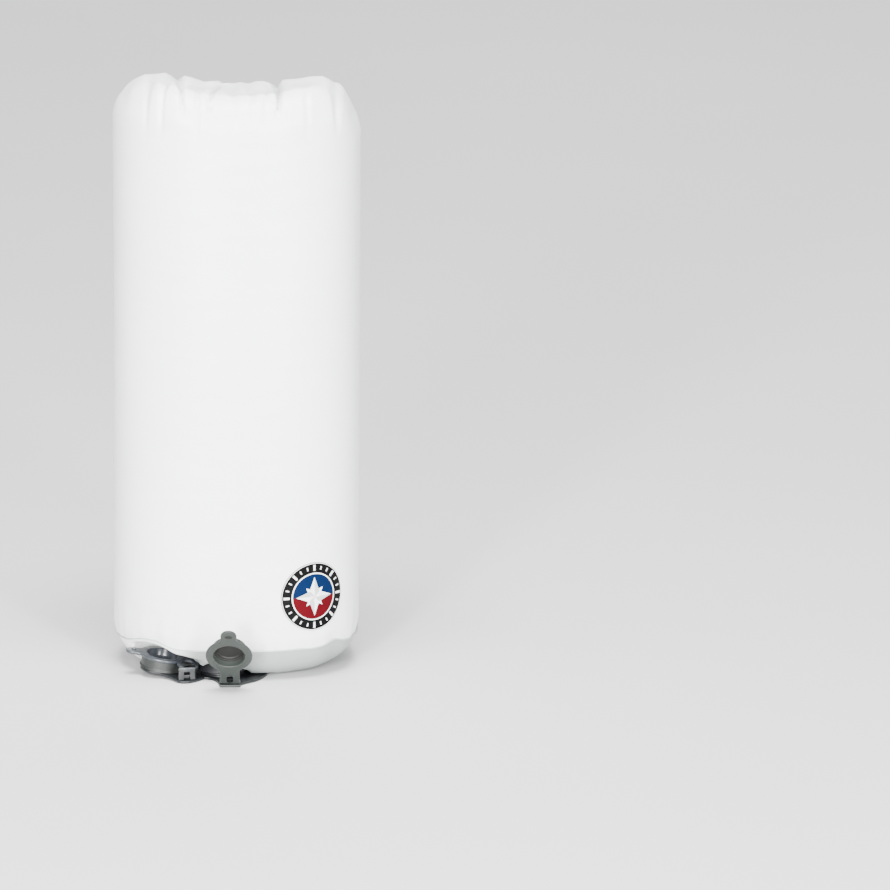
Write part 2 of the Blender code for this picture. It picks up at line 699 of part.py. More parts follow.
def cap_outline(strap_end):
    """Right and left halves of a cap seen from above, with its centre at the origin.

    The tab points along +Y.  strap_end is how far the strap runs along -Y; 0 leaves it out.
    """
    reach = FLANGE_R + FILLET
    tab_x = TAB_HALF + FILLET
    tab_y = math.sqrt(reach ** 2 - tab_x ** 2)
    tab_turn = math.degrees(math.atan2(tab_y, tab_x))
    right = []
    start = -90
    if strap_end:
        strap_x = STRAP_HALF + FILLET
        strap_y = math.sqrt(reach ** 2 - strap_x ** 2)
        start = -math.degrees(math.atan2(strap_y, strap_x))
        right += [(STRAP_HALF, -strap_end)]
        right += arc((strap_x, -strap_y), FILLET, 180, start + 180, 4)
    right += arc((0, 0), FLANGE_R, start, tab_turn, 22)[bool(strap_end):]
    right += arc((tab_x, tab_y), FILLET, tab_turn + 180, 180, 4)[1:]
    right += arc((0, TAB_END), TAB_HALF, 0, 90, 6)
    left = [(-x, y) for x, y in reversed(right[:-1])]
    if not strap_end:
        left = left[:-1]
    return right + left


def recess_outline():
    top = FLANGE / 2
    floor = -FLANGE / 2 - PLUG_DEPTH + 1.3 * MM
    step = floor + 2.6 * MM
    return [
        (0, top + 1 * MM), (RECESS_R + 0.5 * MM, top + 1 * MM), (RECESS_R + 0.5 * MM, top),
        (RECESS_R, top - 0.5 * MM), (RECESS_R - 0.5 * MM, step), (RECESS_R - 1.4 * MM, step),
        (RECESS_R - 1.8 * MM, floor), (0, floor),
    ]


def finish_cap(cap, frame):
    """Hollow plug, seal groove and thumb dimple of a cap, about the cap's own centre."""
    foot = -FLANGE / 2 - PLUG_DEPTH
    plug = turned([
        (0, foot), (PLUG_R - 0.8 * MM, foot), (PLUG_R, foot + 0.8 * MM),
        (PLUG_R, FLANGE / 2 - 0.6 * MM), (0, FLANGE / 2 - 0.6 * MM),
    ])
    boolean(cap, add_part(f"{cap.name}_plug", plug, parent=frame), "UNION")
    recess = turned(recess_outline())
    boolean(cap, add_part(f"{cap.name}_recess", recess, parent=frame), "DIFFERENCE")
    middle = foot + PLUG_DEPTH / 2
    groove = turned([
        (PLUG_R - 0.7 * MM, middle - 1 * MM), (PLUG_R + 2 * MM, middle - 1 * MM),
        (PLUG_R + 2 * MM, middle + 1 * MM), (PLUG_R - 0.7 * MM, middle + 1 * MM),
    ])
    boolean(cap, add_part(f"{cap.name}_groove", groove, parent=frame), "DIFFERENCE")
    return middle


def add_cap_a(look, seal_look):
    """Open cap: flange, tab and strap in one plane, hinged where the strap leaves the plate."""
    turn = (CAP_A_OPEN, 0, CAP_A_TURN)
    outline = [(x, y + STRAP_REACH) for x, y in cap_outline(STRAP_REACH)]
    cap = add_part("inflate_cap", extruded(outline, -FLANGE / 2, FLANGE / 2), look,
                   location=CAP_A_HINGE, rotation=turn)
    bevel(cap, 0.5 * MM)
    centre = CAP_A_HINGE + Euler(turn).to_matrix() @ Vector((0, STRAP_REACH, 0))
    frame = add_frame("inflate_cap_centre", centre, turn)
    middle = finish_cap(cap, frame)
    slot = arc((0, SLOT_ENDS[1] - SLOT_HALF), SLOT_HALF, 0, 180, 8)
    slot += arc((0, SLOT_ENDS[0] + SLOT_HALF), SLOT_HALF, 180, 360, 8)
    slot_bm = extruded(slot, -4 * MM, 4 * MM)
    slot_cutter = add_part("inflate_cap_slot", slot_bm, location=CAP_A_HINGE, rotation=turn)
    boolean(cap, slot_cutter, "DIFFERENCE")
    seal = turned(ring_section(PLUG_R + SEAL_PROUD, middle, SEAL_THICK))
    add_part("inflate_cap_seal", seal, seal_look, parent=frame)
    anchor = block((-STRAP_HALF, 1.6 * MM, PLATE + GAP - CAP_A_HINGE.z), (STRAP_HALF, 4.6 * MM, 1.2 * MM))
    add_part("inflate_strap_anchor", anchor, look, location=CAP_A_HINGE, rotation=(0, 0, CAP_A_TURN))


def add_cap_b(look, seal_look):
    """Closed cap, with a looped strap whose two legs come down to the plate."""
    level = COLLAR_TOP + GAP + FLANGE / 2
    tilt = Euler(PORT_B_TURN).to_matrix()
    centre = PORT_B + tilt @ Vector((0, 0, level))
    frame = add_frame("deflate_cap_centre", centre, PORT_B_TURN)
    turned_to_tab = Matrix.Rotation(CAP_B_TAB_TURN, 4, "Z")
    place = Matrix.Translation(centre - CAP_B_HINGE) @ tilt.to_4x4() @ turned_to_tab
    bm = extruded(cap_outline(0), -FLANGE / 2, FLANGE / 2)
    bm.transform(place)
    cap = add_part("deflate_cap", bm, look, location=CAP_B_HINGE)
    bevel(cap, 0.5 * MM)

    thick = 0.9 * MM
    loop = turned([(1.0, -thick), (1.0, thick), (0, thick), (0, -thick)])
    hole = turned([(1.0, -3 * thick), (1.0, 3 * thick), (0, 3 * thick), (0, -3 * thick)])
    for shape, middle, half in ((loop, LOOP_CENTRE, LOOP_HALF), (hole, WINDOW_CENTRE, WINDOW_HALF)):
        shape.transform(Matrix.Translation(middle) @ Matrix.Diagonal((*half, 1, 1)))
    boolean(cap, add_part("deflate_loop", loop, parent=frame), "UNION")

    leg_turn = (0, 0, CAP_B_LEG_TURN)
    leg_top = 8.0 * MM
    legs = block((-7 * MM, -0.9 * MM, -0.9 * MM), (7 * MM, 0.9 * MM, leg_top))
    boolean(cap, add_part("deflate_legs", legs, location=CAP_B_HINGE, rotation=leg_turn), "UNION")
    keep = turned([(0, -4 * MM), (FLANGE_R - 1.5 * MM, -4 * MM), (FLANGE_R - 1.5 * MM, 4 * MM), (0, 4 * MM)])
    window = add_part("deflate_loop_window", hole, parent=frame)
    boolean(window, add_part("deflate_window_limit", keep, parent=frame), "DIFFERENCE")
    boolean(cap, window, "DIFFERENCE")
    gap = block((-SLOT_HALF, -3 * MM, 0.8 * MM), (SLOT_HALF, 3 * MM, leg_top - 2.4 * MM))
    boolean(cap, add_part("deflate_leg_slot", gap, location=CAP_B_HINGE, rotation=leg_turn), "DIFFERENCE")
    middle = finish_cap(cap, frame)
    seal = turned(ring_section(PLUG_R + SEAL_PROUD, middle, SEAL_THICK))
    add_part("deflate_cap_seal", seal, seal_look, parent=frame)
    anchor = block((-7 * MM, 1.3 * MM, -0.9 * MM), (7 * MM, 3.8 * MM, 0.9 * MM))
    add_part("deflate_strap_anchor", anchor, look, location=CAP_B_HINGE, rotation=leg_turn)


def main():
    white_fabric = ((0.86, 0.88, 0.87), 0.42)
    tape = ((0.74, 0.77, 0.76), 0.5)
    cap_grey = ((0.165, 0.195, 0.175), 0.5)
    port_grey = ((0.19, 0.21, 0.195), 0.48)
    slate = ((0.040, 0.045, 0.052), 0.55)
    nozzle_grey = ((0.25, 0.27, 0.27), 0.45)
    seal_black = ((0.015, 0.015, 0.016), 0.6)
    flap_clear = ((0.45, 0.47, 0.46), 0.35)
    badge_black = ((0.02, 0.02, 0.022), 0.5)
    buckle_black = ((0.03, 0.032, 0.035), 0.45)
    webbing_grey = ((0.12, 0.13, 0.13), 0.8)
    stiffener_white = ((0.6, 0.6, 0.58), 0.5)

    clear_scene()
    add_plate(slate)
    add_ports(port_grey)
    add_flap(port_grey, flap_clear)
    add_cap_a(cap_grey, seal_black)
    add_cap_b(cap_grey, seal_black)
    add_sack_wall(white_fabric)
    add_base_panel(white_fabric)
    add_base_seam_tape(tape)
    add_side_seam_tape(tape)
    add_badge(badge_black)
    add_nozzle(nozzle_grey, seal_black)
    add_rolled_mouth(white_fabric, stiffener_white)
    add_buckle(buckle_black, webbing_grey)


main()
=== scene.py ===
"""Visual model of an inflatable pump sack standing on its twin-port valve."""
import math

import bmesh
import bpy
from mathutils import Euler, Matrix, Vector, noise


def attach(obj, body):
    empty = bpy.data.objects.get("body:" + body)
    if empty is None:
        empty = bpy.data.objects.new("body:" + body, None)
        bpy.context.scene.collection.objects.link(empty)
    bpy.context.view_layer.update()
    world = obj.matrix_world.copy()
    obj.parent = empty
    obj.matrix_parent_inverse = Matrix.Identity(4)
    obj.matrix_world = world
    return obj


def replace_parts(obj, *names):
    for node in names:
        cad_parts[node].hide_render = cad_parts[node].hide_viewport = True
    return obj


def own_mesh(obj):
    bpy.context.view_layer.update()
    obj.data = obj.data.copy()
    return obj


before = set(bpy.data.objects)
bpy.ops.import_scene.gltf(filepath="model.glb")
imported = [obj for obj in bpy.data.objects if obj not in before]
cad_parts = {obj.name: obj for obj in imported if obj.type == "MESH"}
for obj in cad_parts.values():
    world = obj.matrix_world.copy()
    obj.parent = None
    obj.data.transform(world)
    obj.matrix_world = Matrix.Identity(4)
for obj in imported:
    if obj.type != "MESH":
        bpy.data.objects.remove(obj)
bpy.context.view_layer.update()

MM = 0.001
GAP = 0.3 * MM

# Sack, with the same driving dimensions as the CAD
HALF_WIDTH = 105.0 * MM
HALF_DEPTH = 88.0 * MM
OVAL_POWER = 2.4
CORNER = 39.0 * MM
FLAT_SHARE = 1 - CORNER / HALF_WIDTH
SEAM_Z = 27.0 * MM
TOP_Z = 503.0 * MM
TOP_FLAT_SHARE = 0.74
TOP_ROLL = 30.0 * MM
LEFT_SHOULDER = 8.0 * MM
RIGHT_SHOULDER = 5.0 * MM
SHOULDER_X = 62.0 * MM
SHOULDER_SPREAD = 26.0 * MM
BACK_SLOPE_START = -10.0 * MM
BACK_SLOPE = 7.8
RIGHT_CHAMFER = 13.0 * MM
DENT_TOP = 23.8 * MM
FRONT_LIFT = 5.5 * MM

# Valve
PLATE = 2.0 * MM
PORT_A = Vector((-12.0, -61.0, 0.0)) * MM
PORT_B_TILT = math.radians(9)
PORT_B_LEAN = math.radians(3.5)
PLATE_BEND_X = -46.5 * MM
PORT_B = Vector((-65.3, -57.0, 4.1)) * MM
PORT_B_TURN = (PORT_B_LEAN, PORT_B_TILT, 0)
COLLAR_TOP = 11.4 * MM
COLLAR_R = 17.3 * MM
BORE_R = 16.0 * MM
PLATE_HOLE_R = 13.8 * MM

# Caps
FLANGE_R = 19.8 * MM
FLANGE = 2.2 * MM
PLUG_R = 14.8 * MM
PLUG_DEPTH = 7.4 * MM
SEAL_PROUD = 0.15 * MM
SEAL_THICK = 0.6 * MM
RECESS_R = 13.2 * MM
TAB_HALF = 6.8 * MM
TAB_END = 25.2 * MM
STRAP_HALF = 8.4 * MM
STRAP_REACH = 35.4 * MM
FILLET = 4.0 * MM
SLOT_HALF = 2.7 * MM
SLOT_ENDS = (1.4 * MM, 10.8 * MM)
CAP_A_HINGE = Vector((-5.9, -101.6, 3.5)) * MM
CAP_A_TURN = (math.radians(125), 0, math.radians(-2))
CAP_B_HINGE = Vector((-42.5, -86.6, 4.6)) * MM
CAP_B_LEG_TURN = math.radians(14)
CAP_B_TAB_TURN = math.radians(92)
LOOP_CENTRE = Vector((22.0, -14.0, 0.0)) * MM
LOOP_HALF = (9.5 * MM, 16.5 * MM)
WINDOW_CENTRE = Vector((22.6, -18.0, 0.0)) * MM
WINDOW_HALF = (6.3 * MM, 11.6 * MM)

# Nozzle
NOZZLE_R = 14.6 * MM
NOZZLE_BORE_R = 11.6 * MM
NOZZLE_TIP_Z = 4.4 * MM
NOZZLE_FLANGE_R = 18.2 * MM
NOZZLE_FLANGE = 1.6 * MM
SKIRT_R = 22.2 * MM
SKIRT_Z = 7.0 * MM
BASE_OVER_NOZZLE = COLLAR_TOP + NOZZLE_FLANGE + 2 * GAP

# Rolled mouth, as a route of millimetres on its right half, and the buckle
ROLL_ROUTE = [
    (0, 70, 473), (18, 70, 473), (37, 72.5, 470), (54, 79, 456), (63, 87, 431),
    (57, 94, 406), (42, 98.5, 389.5), (25, 101, 384),
]
ROLL_CORE_HALF = 8.8 * MM
ROLL_CORE_RISE = 1.8 * MM
ROLL_PITCH = 2.3 * MM
ROLL_TURNS = 2.25
BUCKLE = Vector((0.0, 115.2, 384.0)) * MM
BUCKLE_HALF_HEIGHT = 12.5 * MM
BUCKLE_HALF_DEPTH = 4.2 * MM
WEBBING_HALF = (9.3 * MM, 0.7 * MM)
WEBBING_Y = BUCKLE.y - 5.25 * MM

# Badge
BADGE_AT_X = 65.5 * MM
BADGE_Z = 72.5 * MM
BADGE_RADIUS = 29.6 * MM
DISC_RADIUS = 19.6 * MM

# Fabric: thickness, cloth round the wall, and the pleat at the lower right
SHEET = 0.8 * MM
WALL_ROUND = 620.0 * MM
PLEAT_X = 83.0 * MM
PLEAT = 3.6 * MM

# Fineness of the visual meshes
ROUND = 96
AROUND = 320
BASE_AROUND = 240
TOP_BANDS = 14

# Colour sockets of a Mix node
MIX_A, MIX_B, MIX_RESULT = 6, 7, 2


# ---------------------------------------------------------------- materials

class Shader:
    """A Principled material with short calls for its texture nodes."""

    def __init__(self, name, **sockets):
        self.material = bpy.data.materials.new(name)
        self.material.use_nodes = True
        self.tree = self.material.node_tree
        self.main = self.tree.nodes["Principled BSDF"]
        for key, value in sockets.items():
            self.main.inputs[key.replace("_", " ")].default_value = value

    def node(self, kind, **values):
        made = self.tree.nodes.new(kind)
        for key, value in values.items():
            if key in made.inputs:
                made.inputs[key].default_value = value
            else:
                setattr(made, key, value)
        return made

    def link(self, output, target):
        self.tree.links.new(output, target)

    def place(self, stretch=(1, 1, 1), source="Object"):
        where = self.node("ShaderNodeTexCoord")
        mapping = self.node("ShaderNodeMapping", Scale=stretch)
        self.link(where.outputs[source], mapping.inputs["Vector"])
        return mapping.outputs["Vector"]

    def cloud(self, scale, detail=4.0, rough=0.5, stretch=(1, 1, 1)):
        made = self.node("ShaderNodeTexNoise", Scale=scale, Detail=detail, Roughness=rough)
        self.link(self.place(stretch), made.inputs["Vector"])
        return made.outputs["Fac"]

    def wave(self, scale, direction, source):
        made = self.node("ShaderNodeTexWave", Scale=scale, bands_direction=direction)
        self.link(self.place(source=source), made.inputs["Vector"])
        return made.outputs["Fac"]

    def ramp(self, fac, stops):
        made = self.node("ShaderNodeValToRGB")
        elements = made.color_ramp.elements
        while len(elements) < len(stops):
            elements.new(0.5)
        for element, (at, colour) in zip(elements, stops):
            element.position = at
            element.color = (*colour, 1.0)
        self.link(fac, made.inputs["Fac"])
        return made.outputs["Color"]

    def span(self, fac, low, high):
        made = self.node("ShaderNodeMapRange")
        made.inputs["To Min"].default_value = low
        made.inputs["To Max"].default_value = high
        self.link(fac, made.inputs["Value"])
        return made.outputs["Result"]

    def product(self, a, b):
        made = self.node("ShaderNodeMath", operation="MULTIPLY")
        self.link(a, made.inputs[0])
        self.link(b, made.inputs[1])
        return made.outputs["Value"]

    def bump(self, height, distance, strength, below=None):
        made = self.node("ShaderNodeBump", Strength=strength, Distance=distance)
        self.link(height, made.inputs["Height"])
        if below is not None:
            self.link(below, made.inputs["Normal"])
        return made.outputs["Normal"]

    def finish(self, colour, rough=None, normal=None):
        for output, socket in ((colour, "Base Color"), (rough, "Roughness"), (normal, "Normal")):
            if output is not None:
                self.link(output, self.main.inputs[socket])
        return self.material


def tint(colour, factor):
    return tuple(min(c * factor, 1.0) for c in colour)


def coated_nylon(name, colour, crinkle):
    """Glossy cloth with a fine weave and crinkles, with painted shade, darker where the mesh's shade
    attribute says.
    """
    s = Shader(name, IOR=1.5, Coat_Weight=0.12, Coat_Roughness=0.32)
    patches = s.cloud(9.0, 3.0, stretch=(1, 1, 0.5))
    cloth = s.ramp(patches, [(0.3, tint(colour, 0.965)), (0.7, colour)])
    # Painted shade: a mesh attribute mixes the shade colour into the cloth's colour
    painted_shade = s.node("ShaderNodeAttribute", attribute_name="painted_shade")
    shaded = s.node("ShaderNodeMix", data_type="RGBA")
    s.link(painted_shade.outputs["Fac"], shaded.inputs["Factor"])
    s.link(cloth, shaded.inputs[MIX_A])
    shaded.inputs[MIX_B].default_value = (*PAINTED_SHADE_GREY, 1.0)
    rough = s.span(s.cloud(30.0, 4.0), 0.34, 0.46)
    threads = s.product(s.wave(260, "X", "UV"), s.wave(260, "Y", "UV"))
    weave = s.bump(threads, 0.00004, 0.35)
    crinkles = s.bump(s.cloud(38.0, 5.0, 0.55, stretch=(0.55, 0.55, 1.5)), crinkle, 0.5, weave)
    return s.finish(shaded.outputs[MIX_RESULT], rough, crinkles)


def moulded(name, colour, rough, coat=0.0, shine=0.5):
    """Plastic or rubber with slight mottling and a fine grain."""
    s = Shader(name, IOR=1.48, Specular_IOR_Level=shine, Coat_Weight=coat, Coat_Roughness=0.18)
    shade = s.ramp(s.cloud(45.0, 3.0), [(0.3, tint(colour, 0.93)), (0.7, tint(colour, 1.07))])
    speckle = s.span(s.cloud(160.0, 5.0), rough - 0.06, rough + 0.06)
    return s.finish(shade, speckle, s.bump(s.cloud(900.0, 3.0), 0.00006, 0.6))


def woven_webbing(name, colour):
    s = Shader(name, Roughness=0.85)
    rows = s.product(s.wave(95, "X", "Object"), s.wave(120, "Z", "Object"))
    shade = s.ramp(rows, [(0.1, tint(colour, 0.55)), (0.6, tint(colour, 1.25))])
    return s.finish(shade, normal=s.bump(rows, 0.0004, 0.8))


def seam_tape(name, colour):
    s = Shader(name)
    shade = s.ramp(s.cloud(60.0, 3.0), [(0.3, tint(colour, 0.93)), (0.7, colour)])
    rough = s.span(s.cloud(120.0, 3.0), 0.4, 0.55)
    return s.finish(shade, rough, s.bump(s.cloud(220.0, 3.0), 0.0001, 0.5))


def printed(name, colour):
    s = Shader(name, Specular_IOR_Level=0.07)
    shade = s.ramp(s.cloud(70.0, 3.0), [(0.3, tint(colour, 0.94)), (0.7, tint(colour, 1.05))])
    rough = s.span(s.cloud(300.0, 3.0), 0.36, 0.48)
    return s.finish(shade, rough, s.bump(s.cloud(700.0, 2.0), 0.00004, 0.5))


WHITE = (0.885, 0.905, 0.895)
# Painted shade colour for the folds over the top and for the base panel
PAINTED_SHADE_GREY = (0.265, 0.295, 0.285)
NYLON = coated_nylon("white coated nylon", WHITE, 0.0012)
BASE_NYLON = coated_nylon("white base nylon", tint(WHITE, 0.97), 0.0022)
ROLL_NYLON = coated_nylon("white rolled nylon", tint(WHITE, 0.95), 0.002)
TAPE = seam_tape("seam tape", (0.38, 0.41, 0.40))
CAP_GREY = moulded("cap grey", (0.0205, 0.0255, 0.0225), 0.5)
# Painted shade for the open cap's recess floor and its tab dimple
CAP_RECESS_SHADE = moulded("cap recess grey", (0.012, 0.0122, 0.0112), 0.6, shine=0.3)
# Copy of the cap grey, bluer and lighter as a painted reflection of the sky
CAP_B_SKY_REFLECTION_GREY = moulded("closed cap grey", (0.026, 0.030, 0.037), 0.3, 0.4)
CLIP_GREY = moulded("strap leg grey", (0.019, 0.021, 0.0215), 0.32, 0.3)
PORT_GREY = moulded("port grey", (0.0185, 0.021, 0.0195), 0.45)
SLATE = moulded("plate slate", (0.0052, 0.0062, 0.0076), 0.45)
NOZZLE_SLATE = moulded("nozzle slate", (0.0052, 0.006, 0.0076), 0.5)
# Painted shadow for the open cap's slot walls and the strap anchor seen through the slot
SLOT_SHADOW = moulded("slot shadow", (0.004, 0.0044, 0.0044), 0.85, shine=0.05)
SEAL = moulded("seal black", (0.003, 0.003, 0.0033), 0.5)
FLAP_SKIN = moulded("flap silicone", (0.25, 0.27, 0.26), 0.35)
STIFFENER = moulded("stiffener strip", (0.58, 0.58, 0.56), 0.5)
BUCKLE_BLACK = moulded("buckle black", (0.005, 0.0053, 0.0058), 0.34)
WEBBING = woven_webbing("grey webbing", (0.030, 0.033, 0.033))
BADGE_BLACK = printed("badge black", (0.0018, 0.0018, 0.002))
BADGE_WHITE = printed("badge white", (0.80, 0.81, 0.80))
BADGE_BLUE = printed("badge blue", (0.0002, 0.0085, 0.040))
BADGE_PALE = printed("badge pale grey", (0.42, 0.43, 0.43))
BADGE_RED = printed("badge red", (0.064, 0.0005, 0.0032))


# ---------------------------------------------------------------- mesh helpers

def add_piece(name, bm, material, sharp=35, outward=True):
    if outward:
        bmesh.ops.recalc_face_normals(bm, faces=bm.faces)
    mesh = bpy.data.meshes.new(name)
    bm.to_mesh(mesh)
    bm.free()
    piece = bpy.data.objects.new(name, mesh)
    bpy.context.collection.objects.link(piece)
    if material is not None:
        mesh.materials.append(material)
    mesh.shade_smooth()
    mesh.set_sharp_from_angle(angle=math.radians(sharp))
    return piece


def bake(piece, sharp=35):
    """Apply every modifier of a piece."""
    bpy.context.view_layer.update()
    shaped = piece.evaluated_get(bpy.context.evaluated_depsgraph_get())
    mesh = bpy.data.meshes.new_from_object(shaped)
    piece.modifiers.clear()
    piece.data = mesh
    mesh.shade_smooth()
    mesh.set_sharp_from_angle(angle=math.radians(sharp))
    return piece


def carve(piece, steps):
    """Boolean a list of (operation, cutter) into a piece, then remove the cutters."""
    for operation, cutter in steps:
        step = piece.modifiers.new(operation, "BOOLEAN")
        step.operation = operation
        step.solver = "EXACT"
        step.object = cutter
    bake(piece)
    for _, cutter in steps:
        bpy.data.objects.remove(cutter, do_unlink=True)
    return piece


def soften(piece, width, segments, angle=40):
    step = piece.modifiers.new("soft edges", "BEVEL")
    step.width = width
    step.segments = segments
    step.limit_method = "ANGLE"
    step.angle_limit = math.radians(angle)
    return bake(piece)


def thicken(piece, thickness):
    """Give a sheet its thickness, behind the side that shows."""
    step = piece.modifiers.new("thickness", "SOLIDIFY")
    step.thickness = thickness
    step.offset = -1.0
    return bake(piece, 60)


def smoothstep(low, high, value):
    share = min(max((value - low) / (high - low), 0.0), 1.0)
    return share * share * (3 - 2 * share)


def arc(centre, radius, start, end, steps):
    angles = [math.radians(start + (end - start) * k / steps) for k in range(steps + 1)]
    return [(centre[0] + radius * math.cos(a), centre[1] + radius * math.sin(a)) for a in angles]


def rounded(profile, radius, steps=4):
    """Round every corner of a closed outline whose sides are long enough."""
    points = [Vector(p) for p in profile]
    shortest = 0.02 * MM
    result = []
    for k, corner in enumerate(points):
        before = points[k - 1] - corner
        after = points[(k + 1) % len(points)] - corner
        reach = min(radius, before.length * 0.45, after.length * 0.45)
        if corner.x == 0 or reach < shortest:
            result.append(tuple(corner))
            continue
        start = corner + before.normalized() * reach
        end = corner + after.normalized() * reach
        for j in range(steps + 1):
            t = j / steps
            result.append(tuple((1 - t) ** 2 * start + 2 * t * (1 - t) * corner + t * t * end))
    return result


def even_turn(count):
    return [2 * math.pi * k / count for k in range(count)]


def turned(profile):
    """A closed outline of (radius, height) points turned about Z."""
    bm = bmesh.new()
    rings = []
    for radius, height in profile:
        if radius == 0:
            rings.append([bm.verts.new((0, 0, height))] * ROUND)
            continue
        rings.append([
            bm.verts.new((radius * math.cos(a), radius * math.sin(a), height))
            for a in even_turn(ROUND)
        ])
    skin(bm, rings + rings[:1])
    return bm


def skin(bm, rings, closed=True):
    """Faces between each ring of vertices and the one after it."""
    for ring, following in zip(rings, rings[1:]):
        count = len(ring) if closed else len(ring) - 1
        for k in range(count):
            after = (k + 1) % len(ring)
            corners = [ring[k], ring[after], following[after], following[k]]
            distinct = list(dict.fromkeys(corners))
            if len(distinct) > 2:
                bm.faces.new(distinct)


def extruded(outline, low, high):
    bm = bmesh.new()
    bottom = [bm.verts.new((p[0], p[1], low)) for p in outline]
    top = [bm.verts.new((p[0], p[1], high)) for p in outline]
    bm.faces.new(bottom)
    bm.faces.new(top)
    skin(bm, [bottom, top])
    return bm


def block(low, high):
    outline = [(low[0], low[1]), (high[0], low[1]), (high[0], high[1]), (low[0], high[1])]
    return extruded(outline, low[2], high[2])


def smooth_route(points, steps):
    """A smooth curve through points, with so many steps between each pair."""
    ends = [2 * points[0] - points[1]] + points + [2 * points[-1] - points[-2]]
    route = []
    for before, start, end, after in zip(ends, ends[1:], ends[2:], ends[3:]):
        for k in range(steps):
            t = k / steps
            route.append(0.5 * (
                2 * start + (end - before) * t
                + (2 * before - 5 * start + 4 * end - after) * t ** 2
                + (3 * start - before - 3 * end + after) * t ** 3
            ))
    return route + [points[-1]]


def bell(value, middle, spread):
    return math.exp(-(((value - middle) / spread) ** 2))


# ---------------------------------------------------------------- shape of the sack

def oval(angle, share=1.0):
    power = 2 / OVAL_POWER
    x = math.copysign(abs(math.cos(angle)) ** power, math.cos(angle))
    y = math.copysign(abs(math.sin(angle)) ** power, math.sin(angle))
    return share * HALF_WIDTH * x, share * HALF_DEPTH * y


def oval_share(x, y):
    return (abs(x / HALF_WIDTH) ** OVAL_POWER + abs(y / HALF_DEPTH) ** OVAL_POWER) ** (1 / OVAL_POWER)


def corner_rise(share, flat_share=FLAT_SHARE, rise=CORNER):
    if share <= flat_share:
        return 0.0
    along = min((share - flat_share) / (1 - flat_share), 1.0)
    return rise * (1 - math.sqrt(1 - along ** 2))


def distance_to_line(x, y, start, end):
    line = Vector((end[0] - start[0], end[1] - start[1]))
    point = Vector((x - start[0], y - start[1]))
    share = min(max(point.dot(line) / line.length_squared, 0.0), 1.0)
    return (point - line * share).length


def top_height(x, y):
    left = LEFT_SHOULDER * bell(x, -SHOULDER_X, SHOULDER_SPREAD)
    right = RIGHT_SHOULDER * bell(x, SHOULDER_X, SHOULDER_SPREAD)
    slope = BACK_SLOPE * max(y - BACK_SLOPE_START, 0.0) ** 2
    slope += RIGHT_CHAMFER * smoothstep(0.8, 1.0, x / HALF_WIDTH)
    return TOP_Z + left + right - slope - corner_rise(oval_share(x, y), TOP_FLAT_SHARE, TOP_ROLL)


def nozzle_dent(x, y):
    radius = math.hypot(x - PORT_A.x, y - PORT_A.y)
    flat = NOZZLE_FLANGE_R + 0.4 * MM
    foot = SKIRT_R + 0.7 * MM
    along = min(max((radius - flat) / (foot - flat), 0.0), 1.0)
    height = BASE_OVER_NOZZLE + along * (SKIRT_Z + 1.3 * MM - BASE_OVER_NOZZLE)
    return height * (1 - smoothstep(foot, foot + 5 * MM, radius))


def cap_dent(x, y):
    """Height of the base over the closed cap, its tab and its looped strap."""
    port = (PORT_B.x, PORT_B.y)
    loop_top = (PORT_B.x + LOOP_CENTRE.x, PORT_B.y)
    loop_foot = (PORT_B.x + LOOP_CENTRE.x, PORT_B.y - 27 * MM)
    beyond = min(
        distance_to_line(x, y, port, loop_top) - FLANGE_R,
        distance_to_line(x, y, port, (PORT_B.x - TAB_END, PORT_B.y)) - TAB_HALF,
        distance_to_line(x, y, loop_top, loop_foot) - LOOP_HALF[0],
    )
    height = PORT_B.z + COLLAR_TOP + FLANGE + 2.4 * MM
    height += math.tan(PORT_B_TILT) * (PORT_B.x - x) + math.tan(PORT_B_LEAN) * (y - PORT_B.y)
    return min(height, DENT_TOP) * (1 - smoothstep(2 * MM, 16 * MM, beyond))


def plate_dent(x, y):
    beyond = distance_to_line(x, y, (0, PORT_A.y), (PORT_B.x, PORT_B.y)) - 28 * MM
    height = PLATE + 1.4 * MM + max(PLATE_BEND_X - x, 0.0) * math.tan(PORT_B_TILT)
    return height * (1 - smoothstep(1 * MM, 9 * MM, beyond))


def front_dent(x, y):
    """Height of the base at its raised front left edge, left of the nozzle."""
    radius = math.hypot(x - PORT_A.x, y - PORT_A.y)
    height = DENT_TOP - 0.2 * max(x + 59 * MM, 0.0)
    height *= 1 - smoothstep(-26 * MM, -12 * MM, x)
    height *= 1 - smoothstep(-52 * MM, -28 * MM, y)
    return height * smoothstep(0.5 * MM, 4 * MM, radius - SKIRT_R)


def base_height(x, y):
    dents = (nozzle_dent(x, y), cap_dent(x, y), plate_dent(x, y), front_dent(x, y))
    return max(corner_rise(oval_share(x, y)), *dents)


def lifted(x, y, z):
    """A point of the sack, raised at its front left over the closed cap, and at its pleat."""
    across = smoothstep(-103 * MM, -76 * MM, x) * (1 - smoothstep(-72 * MM, -50 * MM, x))
    forward = 1 - smoothstep(-60 * MM, -30 * MM, y)
    low = 1 - smoothstep(SEAM_Z + 1 * MM, 80 * MM, z)
    pleat = PLEAT * bell(x, PLEAT_X, 7 * MM) + 0.7 * MM * noise.noise(Vector((x * 70, 0, 3)))
    return x, y, z + (FRONT_LIFT * across + pleat) * forward * low


def groove(x, at, width, lean):
    """How deep a fold is at x, up to 1; its left side is the steep one when lean is below 0."""
    t = (x - at) / width
    if t <= -1 or t >= 1:
        return 0.0
    edge = 0.35 * lean
    share = (t + 1) / (1 + edge) if t < edge else (1 - t) / (1 - edge)
    return 3 * share ** 2 - 2 * share ** 3
